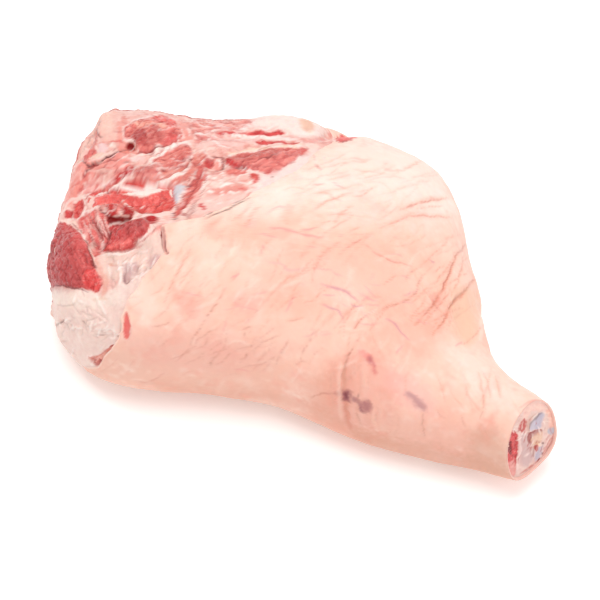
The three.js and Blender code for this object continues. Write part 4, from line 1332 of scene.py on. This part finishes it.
HOCK_MARKS = (
    fascia("cream of the face", "#e7c0b5", "500,396 560,400 560,460 541,470 514,486 500,476 500,440",
        soft=1.5),
    fascia("pink of the upper rim", "#f3c6b8", "522,410 530,402 546,405 544,410 532,412 524,424", soft=1.5),
    fascia("peach skin flap", "#f3b9a6", "546,409 556,408 556,428 549,429 547,420", soft=1.5),
    gristle("grey of the middle", "#d0aaa6", "519,436 527,434 534,446 532,462 524,468 519,456", soft=2.5),
    marrow("red slit", "#d23a3b", "508,437 514,430 518.4,440 518,452 517,464 513.5,474 508,474 506,462 "
        "506.6,446", soft=1.0, rise=-1.2, dome=3),
    # The slit's dark middle: painted shade in the slit over its own red.
    marrow("dark of the slit", "#8c1d20", "509.4,442 512,440 513,448 511.6,455 508.6,453",
        soft=0.9, ragged=0.5, rise=-1, dome=2, membrane=0.0),
    fascia("pale end of the slit", "#e79b92", "511,462 515,461 516,472 513,477 510,476 510,470", soft=1.2),
    fascia("red streak", "#c4564f", "521,423 525,419 527,425 525,432 520,431", soft=1.2),
    gristle("upper gristle", "#beafbd", "529,428 533,420 541,413 545,414 545,422 541,429 532,431",
        soft=1.0, ragged=0.4, rise=0.4),
    fascia("pale right of the gristle", "#e6c2b6", "542,424 546,414 549,418 549,432 543,434", soft=1.4),
    # Painted shade in the gap, over its own reddish brown.
    fascia("dark wedge gap", "#a34a42", "528,433 541,430 541,433 534,439 532,443 528,443",
        soft=0.9, ragged=0.5, rise=-1, dome=2),
    fascia("tan tissue", "#e6b9a0", "532,440 538,434 543,434 540,444 533,447", soft=1.2),
    gristle("lower gristle", "#bcabb8", "535,450 540,446 543,446 542,455 538,461 534,459",
        soft=1.0, ragged=0.4),
    fascia("red spot over it", "#bb544e", "535,445 538,445 538,450 535,451", soft=0.8),
    muscle("banded muscle at the right", "#dc9c92", "546,440 552,432 555,436 555,450 546,459 542,456 "
        "544,448", run=-62, soft=1.2, ragged=0.6),
    gristle("grey spot", "#bdb0b8", "548,430 554,427 555,431 549,434", soft=1.0),
    # Painted shadow along the top edge of the upper gristle.
    line("dark edge of the upper gristle", "#7d5b58", "529,428 533,421 538,416 543,413", 1.2, 0.8, -0.5),
    line("white line beside the slit", "#ecc6be", "517.5,430 519.5,440 519.6,452 518.6,464 517.6,474",
        1.8, 0.85, 0.5),
    line("second line beside the slit", "#d9a9a0", "521,436 522,450 521,464", 1.2, 0.5, -0.3),
    line("first band at the right", "#b9655c", "545,456 549,446 554,436", 1.2, 0.7, -0.4),
    line("second band at the right", "#f0d3c9", "543,452 547,442 552,433", 1.2, 0.7, 0.3),
    line("red line along the lower rim", "#c9665d", "519,474 529,469 541,460 547,455", 2.0, 0.85, -0.5),
    line("dark dot", "#7a4240", "542,442 543,444", 1.8, 0.8),
    line("second dark dot", "#7a4240", "542,452 543,454", 1.8, 0.8),
    line("dark red dot", "#8f2020", "538,460 541,461", 2.0, 0.9),
    line("orange fibres", "#eec3a0", "530,446 535,444 540,446", 1.4, 0.8, 0.3),
)


@dataclass
class Leg:
    """Builds the pieces of the leg over one form, in millimetres."""

    low: Array
    high: Array
    form: LegForm = field(default_factory=LegForm)
    view: View = field(default_factory=View)
    noise: Noise = field(default_factory=lambda: Noise(7))
    upper_columns: int = 330
    under_columns: int = 84
    upper_turn: float = math.radians(204.0)
    rind_rows: int = 215
    meat_rows: int = 150
    butt_rows: int = 62
    edge_wander: float = 0.0035
    lip: float = 1.6
    lip_rows: int = 6

    def __post_init__(self) -> None:
        """Lays out the columns and where the rind stops on each."""
        upper = np.linspace(0.0, self.upper_turn, self.upper_columns, endpoint=False)
        under = np.linspace(self.upper_turn, 2 * math.pi, self.under_columns, endpoint=False)
        self.angles = np.concatenate([upper, under])
        plain = self.form.edge_w(self.angles)
        edge = self.form.surface(plain, self.angles)
        self.edge = plain + self.edge_wander * self.noise.at(edge, 16.0, 3)

    def base(self, w: Array) -> tuple[Array, Array]:
        """The relieved body and its normals, one row of w for each ring."""
        angles = np.broadcast_to(self.angles, w.shape)
        points = self.form.surface(w, angles)
        normals = grid_normals(points)
        points = points + normals * self.form.forms(points)[..., None]
        return points, grid_normals(points)

    @staticmethod
    def settle(points: Array, normals: Array, rise: Array) -> Array:
        """Moves points by their relief, which dies out at the floor, and keeps them on or over it."""
        fade = smooth_step(1.0, 9.0, points[..., 2])
        moved = points + normals * (rise * fade)[..., None]
        moved[..., 2] = np.maximum(moved[..., 2], 0.0)
        return moved

    def lip_height(self, edge: Array) -> Array:
        """How far the rind stands over the meat at its edge: full at the near side, little at the far side."""
        y = edge[..., 1]
        return 2.6 - 1.9 * smooth_step(-48.0, -12.0, y)

    def hock(self) -> tuple[Array, Array, Array]:
        """The hock's rim, centre and outward direction."""
        rim = self.form.surface(np.zeros_like(self.angles), self.angles)
        inner = self.form.surface(np.full_like(self.angles, 0.02), self.angles)
        centre = rim.mean(axis=0)
        tilt = unit(np.cross(np.roll(rim, -1, axis=0) - centre, rim - centre).sum(axis=0))
        outward = tilt * np.sign(tilt @ (rim - inner).mean(axis=0))
        return rim, centre, outward

    def skin_tones_and_shade(self, canvas: Canvas, points: Array, normals: Array) -> None:
        """Broad rind tones: painted shade in tan down the walls and near the floor, peach and cream blotches on
        top.
        """
        noise = self.noise
        # Painted shade: tan on the walls that face sideways, and a darker tan near the floor.
        wall = 1.0 - smooth_step(0.05, 0.75, normals[..., 2])
        canvas.tone("#e0ad99", 0.55 * wall)
        canvas.tone("#d9a28a", 0.5 * (1.0 - smooth_step(4.0, 26.0, points[..., 2])))
        canvas.tone("#f4b39d", 0.36 * smooth_step(0.1, 0.9, noise.at(points, 42.0, 3)))
        canvas.tone("#fde6da", 0.36 * smooth_step(0.1, 0.9, noise.at(points + 700.0, 38.0, 3)))
        canvas.tone("#ea9786", 0.42 * smooth_step(0.35, 1.1, noise.at(points + 900.0, 15.0, 3)))
        canvas.tone("#fce6da", 0.30 * smooth_step(0.3, 1.1, noise.at(points + 1100.0, 17.0, 3)))
        canvas.tone("#ee9c88", 0.26 * smooth_step(0.15, 1.2, noise.at(points + 1200.0, 8.0, 2)))
        canvas.tone("#fdebe1", 0.26 * smooth_step(0.15, 1.2, noise.at(points + 1500.0, 6.5, 2)))

    def skin_relief(self, points: Array) -> Array:
        """Slack undulation of the rind with fine wrinkles."""
        return 0.9 * self.noise.at(points, 30.0, 2) + 0.22 * self.noise.at(points + 40.0, 7.0, 2)

    def rind(self, material: bpy.types.Material) -> bpy.types.Object:
        """The rind, from just inside the hock's rim to its lip over the meat, where it turns in."""
        share = np.linspace(0.0, 1.0, self.rind_rows)[:, None]
        w = share * self.edge[None, :]
        points, normals = self.base(w)
        pixels = self.view.pixels(points)
        seen = smooth_step(0.0, 0.15, self.view.facing(points, normals))
        canvas = Canvas(self.noise, points, pixels, seen, "#f8c7b4")
        self.skin_tones_and_shade(canvas, points, normals)
        canvas.paint(SKIN_MARKS)
        canvas.paint(strewn(HAIRLINES))
        calm = smooth_step(0.0, 0.03, w) * smooth_step(0.0, 0.05, self.edge - w)
        outer = self.settle(points, normals, canvas.rise + self.skin_relief(points) * calm)
        rows, colours, tissues = [], [], []
        rim, centre, outward = self.hock()
        for inwards, depth in ((0.9, 3.4), (0.93, 3.2), (0.945, 1.2), (0.957, 0.3), (0.98, -0.1), (0.995, 0.1)):
            rows.append(centre + (rim - centre) * inwards - outward * depth)
            colours.append(np.tile(linear("#eebcae"), (len(rim), 1)))
            tissues.append(np.tile(Tissue.FASCIA.value, (len(rim), 1)))
        forward = unit(outer[-1] - outer[-4])
        normal = normals[-1]
        edge = outer[-1]
        along = unit(sum(np.roll(edge, -k, axis=0) - np.roll(edge, k, axis=0) for k in (1, 2, 3, 4)))
        ahead = unit(np.cross(normal, along))
        ahead *= np.sign(np.sum(ahead * forward, axis=-1))[:, None]
        lips, lip_colours = [], []
        height = self.lip_height(outer[-1])[:, None] + 3.0
        for k in range(1, self.lip_rows + 1):
            turn = 0.5 * math.pi * k / self.lip_rows
            lips.append(outer[-1] + self.lip * (ahead * math.sin(turn) - normal * (1.0 - math.cos(turn))))
            lip_colours.append(canvas.colour[-1] + (linear("#f3d5c8") - canvas.colour[-1]) * k / self.lip_rows)
        lips.append(lips[-1] - normal * height)
        lips.append(lips[-1] - normal * 3.0 - ahead * 4.0)
        lip_colours += [np.tile(linear("#efc8ba"), (len(rim), 1))] * 2
        lips, lip_colours = np.array(lips), np.array(lip_colours)
        lips[..., 2] = np.maximum(lips[..., 2], 0.0)
        rows = np.concatenate([np.array(rows), outer, lips])
        colour = np.concatenate([np.array(colours), canvas.colour, lip_colours])
        lip_tissue = np.tile(Tissue.FASCIA.value, (*lips.shape[:2], 1))
        tissue = np.concatenate([np.array(tissues), canvas.tissue, lip_tissue])
        shell = Skin(rows, centre - outward * 3.2, rows[-1].mean(axis=0), colour, tissue)
        return shell.build("rind", material, self.low, self.high)

    def far_wall(self, canvas: Canvas, points: Array, unseen: Array, beyond: Array) -> None:
        """Guesses the butt's far wall, which the photograph hides: muscle ends parted by fascia over fat.

        Args:
            canvas: the meat's surface.
            points: its points, in millimetres.
            unseen: how far each point is hidden in the photograph, 0 to 1.
            beyond: how far each point lies past the brink of the cut, in millimetres.
        """
        noise = self.noise
        wall_run = unit(np.array([-186.0 + 128.0, 76.0 + 180.0]))
        along = points[..., :2] @ wall_run + 11.0 * noise.at(points + 61.0, 24.0, 3)
        up = points[..., 2] + 7.0 * noise.at(points + 88.0, 18.0, 3)
        gaps = np.stack(
            [np.hypot((along - end.along) / end.wide, (up - end.up) / end.high) for end in FAR_WALL_ENDS]
        )
        nearest, order = gaps.argmin(axis=0), np.sort(gaps, axis=0)
        streak = noise.at(points * np.array([0.6, 0.6, 3.0]), 4.0, 2) + 0.6 * noise.at(points + 5.0, 9.0, 3)
        flesh = (1.0 + 0.2 * streak)[..., None] ** np.array([0.45, 1.25, 1.2])
        colour = np.array([linear(end.colour) for end in FAR_WALL_ENDS])[nearest] * flesh
        inside = smooth_step(0.04, 0.12, order[1] - order[0] + 0.03 * streak)
        inside *= smooth_step(11.0, 15.0, beyond)
        inside *= smooth_step(11.0, 13.5, points[..., 2] + 4.0 * noise.at(points + 33.0, 15.0, 3))
        canvas.tone("#f2cdc0", unseen)
        mask = inside * unseen
        canvas.colour += mask[..., None] * (colour - canvas.colour)
        canvas.tissue += mask[..., None] * (np.array(Tissue.MUSCLE.value) - canvas.tissue)
        canvas.rise += 0.9 * mask
        foot = 1.0 - smooth_step(4.0, 7.0, points[..., 2] + 2.0 * noise.at(points, 12.0, 2))
        canvas.tone("#f0c4b0", unseen * foot)

    def meat(self, material: bpy.types.Material) -> bpy.types.Object:
        """The flesh beyond the rind: over the cut to the last rib, then round the butt."""
        start = self.edge - 0.02
        share = np.linspace(0.0, 1.0, self.meat_rows, endpoint=False)[:, None]
        past = np.linspace(0.0, 1.0, self.butt_rows)[:, None]
        middle = np.maximum(start, 0.97)
        turn_over = np.where(start < 0.97, 1.0, middle)
        w = np.concatenate([start + share * (turn_over - start), turn_over + past * (1.985 - turn_over)])
        points, normals = self.base(w)
        drop = self.lip_height(points[0])[None, :] * smooth_step(25.0, 45.0, points[..., 2])
        points = points - normals * drop[..., None]
        normals = grid_normals(points)
        facing = self.view.facing(points, normals)
        shown = facing > 0.03
        last = np.where(shown.any(axis=0), len(w) - 1 - np.argmax(shown[::-1], axis=0), 0)
        rows = np.minimum(np.arange(len(w))[:, None], last[None, :])
        pixels = np.take_along_axis(self.view.pixels(points), rows[..., None], axis=0)
        steps = np.linalg.norm(np.diff(points, axis=0, prepend=points[:1]), axis=-1).cumsum(axis=0)
        beyond = steps - np.take_along_axis(steps, last[None, :], axis=0)
        wander = 5.0 * self.noise.at(points, 8.0, 3)
        drift = np.stack([self.noise.at(points + 60.0 * k, 14.0, 2) for k in (3, 4)], -1)
        pixels = pixels + drift * np.clip(beyond, 0.0, 24.0)[..., None] * 0.5
        seen = (1.0 - smooth_step(5.0, 15.0, beyond + wander)) * smooth_step(0.0, 0.1, facing + (beyond > 0.0))
        seen *= shown.any(axis=0)
        canvas = Canvas(self.noise, points, pixels, seen, "#edb5a9")
        canvas.tone("#f6d6ca", 0.8 * smooth_step(0.0, 0.45, self.noise.at(points, 11.0, 3)))
        canvas.tone("#de8276", 0.6 * smooth_step(0.3, 0.6, self.noise.at(points + 500.0, 7.0, 3)))
        # Dark fold lines over the fascia: painted shade in its creases.
        folds = 1.0 - smooth_step(0.02, 0.14, np.abs(self.noise.at(points + 150.0, 13.0, 3)))
        canvas.tone("#c98a7e", 0.45 * folds)
        canvas.tissue += np.array(Tissue.FASCIA.value)
        unseen = 1.0 - seen
        self.far_wall(canvas, points, unseen, beyond + wander)
        canvas.paint(MEAT_MARKS)
        canvas.paint(strewn(CUT_LINES))
        crevices = 1.0 - smooth_step(0.03, 0.2, np.abs(self.noise.at(points + 410.0, 5.5, 3)))
        crevices *= np.clip(0.12 + canvas.tissue[..., 0] + 2.0 * (canvas.tissue[..., 1] - 0.4), 0.12, 1.0)
        # Crevices are darkened in colour as well as sunk below: painted shade in them over the flesh's colour.
        dark = (1.0 - 0.34 * crevices)[..., None] ** np.array([0.5, 1.3, 1.25])
        canvas.colour *= dark
        rough = 1.1 * self.noise.at(points + 21.0, 9.0, 3) + 0.55 * self.noise.at(points + 77.0, 2.6, 2)
        rough *= 0.45 + 0.55 * np.clip(canvas.tissue[..., 0] + 1.4 * (canvas.tissue[..., 1] - 0.15), 0.0, 1.0)
        rough -= 0.8 * crevices
        moved = self.settle(points, normals, canvas.rise + rough)
        inner = moved[0] - normals[0] * 5.0
        rows = np.concatenate([inner[None], moved])
        colour = np.concatenate([canvas.colour[:1], canvas.colour])
        tissue = np.concatenate([canvas.tissue[:1], canvas.tissue])
        shell = Skin(rows, inner.mean(axis=0), moved[-1].mean(axis=0), colour, tissue)
        return shell.build("cut_meat", material, self.low, self.high)

    def hock_face(self, material: bpy.types.Material) -> bpy.types.Object:
        """The sawn end of the hock, set back inside the rind's rim."""
        rim, centre, outward = self.hock()
        shares = np.linspace(1.0, 0.02, 46)[:, None, None]
        inner = centre + (rim - centre) * 0.952 - outward * 1.4
        points = centre - outward * 1.4 + (inner - centre + outward * 1.4) * shares
        normals = np.broadcast_to(outward, points.shape)
        seen = np.ones(points.shape[:2])
        canvas = Canvas(self.noise, points, self.view.pixels(points), seen, "#e8bbae")
        canvas.tissue += np.array(Tissue.FASCIA.value)
        canvas.paint(HOCK_MARKS)
        canvas.paint(strewn(HOCK_LINES))
        rough = 0.35 * self.noise.at(points + 21.0, 5.0, 3) - 0.3
        moved = points + normals * (canvas.rise * 0.6 + rough)[..., None]
        back = inner - outward * 4.0
        rows = np.concatenate([back[None], moved])
        colour = np.concatenate([canvas.colour[:1], canvas.colour])
        tissue = np.concatenate([canvas.tissue[:1], canvas.tissue])
        shell = Skin(rows, centre - outward * 5.4, moved[-1].mean(axis=0), colour, tissue)
        return shell.build("hock_face", material, self.low, self.high)

    def bone(self, bone: "Bone", material: bpy.types.Material) -> bpy.types.Object:
        """A bone swept along its path, painted as it shows in the photograph."""
        points, caps = bone.rows()
        normals = grid_normals(points) * bone.facing_sign(points)
        pixels = self.view.pixels(points)
        seen = smooth_step(-0.2, 0.1, self.view.facing(points, normals))
        seen[:caps] = 1.0
        canvas = Canvas(self.noise, points, pixels, seen, bone.ground)
        canvas.tissue += np.array(Tissue.BONE.value)
        canvas.paint(bone.marks)
        rough = bone.roughness * (self.noise.at(points, 5.0, 3) + 0.5 * self.noise.at(points + 11.0, 2.0, 2))
        fade = np.ones(len(points))[:, None]
        fade[:caps] = 0.25
        moved = points + normals * ((canvas.rise + rough) * fade)[..., None]
        colour, tissue = canvas.colour, canvas.tissue
        if not bone.outward:
            moved, colour, tissue = (values[:, ::-1] for values in (moved, colour, tissue))
        shell = Skin(moved, moved[0].mean(axis=0), moved[-1].mean(axis=0), colour, tissue)
        return shell.build(bone.piece, material, self.low, self.high)


@dataclass(frozen=True)
class WallEnd:
    """The end of a muscle or pad of fat on the butt's far wall: its place and reach along and up the wall."""

    colour: str
    along: float
    up: float
    wide: float
    high: float


FAR_WALL_ENDS = (
    WallEnd("#bd5250", -112, 62, 34, 30),
    WallEnd("#efc9bc", -96, 26, 30, 12),
    WallEnd("#c65c57", -54, 44, 32, 22),
    WallEnd("#f0cdc0", -30, 78, 34, 12),
    WallEnd("#b64a4a", -8, 38, 30, 26),
    WallEnd("#cf6b64", 28, 64, 26, 18),
    WallEnd("#eec6b8", 34, 30, 26, 10),
    WallEnd("#c05550", 70, 46, 30, 22),
    WallEnd("#efcabd", 104, 30, 24, 16),
)


@dataclass(frozen=True)
class Bone:
    """A bone of boxy oval section: its centre, half width across and half height at each place of its path."""

    node: str
    piece: str
    path: tuple[tuple[float, float, float], ...]
    across: tuple[float, ...]
    up: tuple[float, ...]
    square: float
    proud: float
    ground: str
    marks: tuple[Patch | Line, ...]
    roughness: float = 0.15
    sides: int = 112
    steps: int = 110
    cap_rows: int = 14
    outward: bool = False
    sawn: bool = True
    blunt: float = 7.0

    def rows(self) -> tuple[Array, int]:
        """The rings from the sawn or first end to the last, and how many belong to the first end's cap."""
        corners = np.array(self.path, float)
        ends = np.vstack([2 * corners[:1] - corners[1:2], corners, 2 * corners[-1:] - corners[-2:-1]])
        place = np.linspace(0.0, len(corners) - 1, self.steps)
        i = np.minimum(place.astype(int), len(corners) - 2)
        t = (place - i)[:, None]
        p0, p1, p2, p3 = (ends[i + k] for k in range(4))
        bend, twist = 2 * p0 - 5 * p1 + 4 * p2 - p3, 3 * p1 - p0 - 3 * p2 + p3
        centre = 0.5 * (2 * p1 + (p2 - p0) * t + bend * t**2 + twist * t**3)
        heading = unit(0.5 * ((p2 - p0) + 2 * bend * t + 3 * twist * t**2))
        centre[0] -= heading[0] * self.proud
        side = unit(np.cross(heading, [0.0, 0.0, 1.0]))
        above = np.cross(side, heading)
        turn = 2 * math.pi * np.arange(self.sides) / self.sides
        places = np.arange(len(corners))
        across = np.interp(place, places, self.across)[:, None, None]
        up = np.interp(place, places, self.up)[:, None, None]
        wide = across * boxy(np.cos(turn), self.square)[None, :, None] * side[:, None, :]
        high = up * boxy(np.sin(turn), self.square)[None, :, None] * above[:, None, :]
        away = np.linalg.norm(centre - centre[-1], axis=1) / self.blunt
        near = np.linalg.norm(centre - centre[0], axis=1) / self.blunt + (2.0 if self.sawn else 0.0)
        round_off = np.sqrt(1.0 - np.clip(1.0 - np.minimum(away, near), 0.0, 0.92) ** 2)[:, None, None]
        rings = centre[:, None, :] + (wide + high) * round_off
        shares = np.linspace(0.03, 0.97, self.cap_rows)[:, None, None]
        first = centre[0] + (rings[0] - centre[0]) * shares
        last = centre[-1] + (rings[-1] - centre[-1]) * shares[::-1]
        return np.concatenate([first, rings, last]), self.cap_rows

    @staticmethod
    def facing_sign(points: Array) -> float:
        """1 where the grid's normals point out of the bone, and -1 where they point in."""
        middle = len(points) // 2
        normals = grid_normals(points)[middle]
        return float(np.sign(np.sum(normals * (points[middle] - points[middle].mean(axis=0)))))


BONES = (
    Bone(
        "aitch_bone",
        "exposed_pelvis",
        ((-172, -80, 84), (-152, -74, 92.8), (-130, -66, 99.6), (-110, -54, 106.4), (-95, -48, 109.5)),
        (7, 10, 11.5, 12, 9.5),
        (7, 8.5, 9, 9.5, 8.5),
        3.0,
        0.0,
        "#f2c4b8",
        AITCH_MARKS,
        0.7,
        sawn=False,
    ),
    Bone(
        "shank_bone",
        "sawn_shank",
        ((264.6, -36.6, 65), (235, -38, 60), (190, -38, 56), (150, -36, 58)),
        (8.6, 8, 9.5, 12),
        (8, 7.5, 9.5, 12),
        2.3,
        0.2,
        "#e2d2d4",
        HOCK_MARKS,
    ),
    Bone(
        "heel_bone",
        "sawn_heel",
        ((271.8, -39.4, 34), (248, -41, 33), (215, -44, 33)),
        (5.6, 5.6, 6.5),
        (8, 7, 6.5),
        2.3,
        0.2,
        "#e2d2d4",
        HOCK_MARKS,
    ),
)

FINISHES = (
    Flesh("rind_skin", dry=0.5, wet=0.35, glow=0.15, coat=0.12, mottle=0.035,
          bump_mm=0.05, pores_mm=1.3, shine=0.3),
    Flesh("raw_meat", dry=0.5, wet=0.3, glow=0.12, coat=0.16, mottle=0.06,
          bump_mm=0.22, pores_mm=0.9, shine=0.3),
    Flesh("bone_and_gristle", dry=0.45, wet=0.3, glow=0.1, coat=0.2, mottle=0.03, bump_mm=0.06, shine=0.4),
)


@dataclass(frozen=True)
class Studio:
    """The floor, light and camera."""

    floor_size: float = 8.0
    floor_colour: str = "#fbfaf9"
    floor_glow: float = 0.2
    sky: float = 0.67
    key_power: float = 18.5
    key_size: float = 1.5
    key_place: tuple[float, float, float] = (-0.1, 0.0, 1.9)
    spark_power: float = 2.0
    spark_size: float = 0.22
    spark_place: tuple[float, float, float] = (-0.9, -0.3, 1.5)
    fill_power: float = 5.0
    fill_place: tuple[float, float, float] = (1.6, 0.2, 0.9)

    def floor(self) -> bpy.types.Object:
        """A plain pale floor."""
        half = self.floor_size / 2
        mesh = bpy.data.meshes.new("studio_floor")
        square = [(-half, -half, 0), (half, -half, 0), (half, half, 0), (-half, half, 0)]
        mesh.from_pydata(square, [], [(0, 1, 2, 3)])
        shader = Shader("floor_paper")
        colour = (*linear(self.floor_colour), 1.0)
        glow = {"Emission_Color": (1.0, 1.0, 1.0, 1.0), "Emission_Strength": self.floor_glow}
        surface = shader.node("ShaderNodeBsdfPrincipled", "BSDF", {}, Base_Color=colour, Roughness=0.9, **glow)
        Flesh.end(shader, surface)
        mesh.materials.append(shader.material)
        floor = bpy.data.objects.new("studio_floor", mesh)
        bpy.context.scene.collection.objects.link(floor)
        return floor

    def light(self, name: str, place: tuple[float, float, float], power: float, size: float) -> None:
        """An area light that looks at the leg."""
        lamp = bpy.data.lights.new(name, "AREA")
        lamp.energy, lamp.size = power, size
        made = bpy.data.objects.new(name, lamp)
        back = unit(np.array(place) - np.array([0.0, 0.0, 0.06]))
        made.matrix_world = aimed(np.array(place), back)
        bpy.context.scene.collection.objects.link(made)

    def lights(self) -> None:
        """A pale sky, a large soft key over the butt and a weak fill from the hock."""
        world = bpy.data.worlds.new("studio")
        world.use_nodes = True
        world.node_tree.nodes["Background"].inputs["Color"].default_value = (1.0, 1.0, 1.0, 1.0)
        world.node_tree.nodes["Background"].inputs["Strength"].default_value = self.sky
        bpy.context.scene.world = world
        self.light("key", self.key_place, self.key_power, self.key_size)
        self.light("fill", self.fill_place, self.fill_power, self.key_size)
        self.light("spark", self.spark_place, self.spark_power, self.spark_size)

    def camera(self, view: View) -> None:
        """The photograph's view of the leg."""
        lens = bpy.data.cameras.new("photo_view")
        lens.lens, lens.sensor_width, lens.clip_start, lens.clip_end = view.lens(), 36.0, 0.05, 50.0
        made = bpy.data.objects.new("photo_view", lens)
        made.matrix_world = aimed((view.back * view.DISTANCE - FLOOR_CENTRE) * MM, view.back)
        bpy.context.scene.collection.objects.link(made)
        bpy.context.scene.camera = made
        bpy.context.scene.view_settings.view_transform = "Standard"
        bpy.context.scene.view_settings.look = "None"


def aimed(place: Array, back: Array) -> Matrix:
    """The placing of a camera or light at a place, with back pointing from its target to it."""
    right = unit(np.cross([0.0, 0.0, 1.0], back))
    up = np.cross(back, right)
    matrix = np.eye(4)
    matrix[:3, 0], matrix[:3, 1], matrix[:3, 2], matrix[:3, 3] = right, up, back, place
    return Matrix(matrix.tolist())


def main() -> None:
    """Dresses the frame."""
    logging.basicConfig(level=logging.INFO, format="%(name)s %(message)s")
    box_before = [list(map(float, corner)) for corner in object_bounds()]
    low, high = np.array(box_before[0]) + 0.0001, np.array(box_before[1]) - 0.0001
    low[2] = 0.0
    leg = Leg(low, high)
    skin, flesh, bony = (finish.build() for finish in FINISHES)
    for piece, slot in ((leg.rind(skin), "rind"), (leg.meat(flesh), "meat"), (leg.hock_face(flesh), "meat")):
        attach(piece, "root")
        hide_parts("leg")
    for bone in BONES:
        piece = leg.bone(bone, bony)
        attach(piece, "root")
        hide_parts(bone.node)
    studio = Studio()
    studio.floor()
    studio.lights()
    studio.camera(leg.view)


if __name__ == "__main__":
    main()
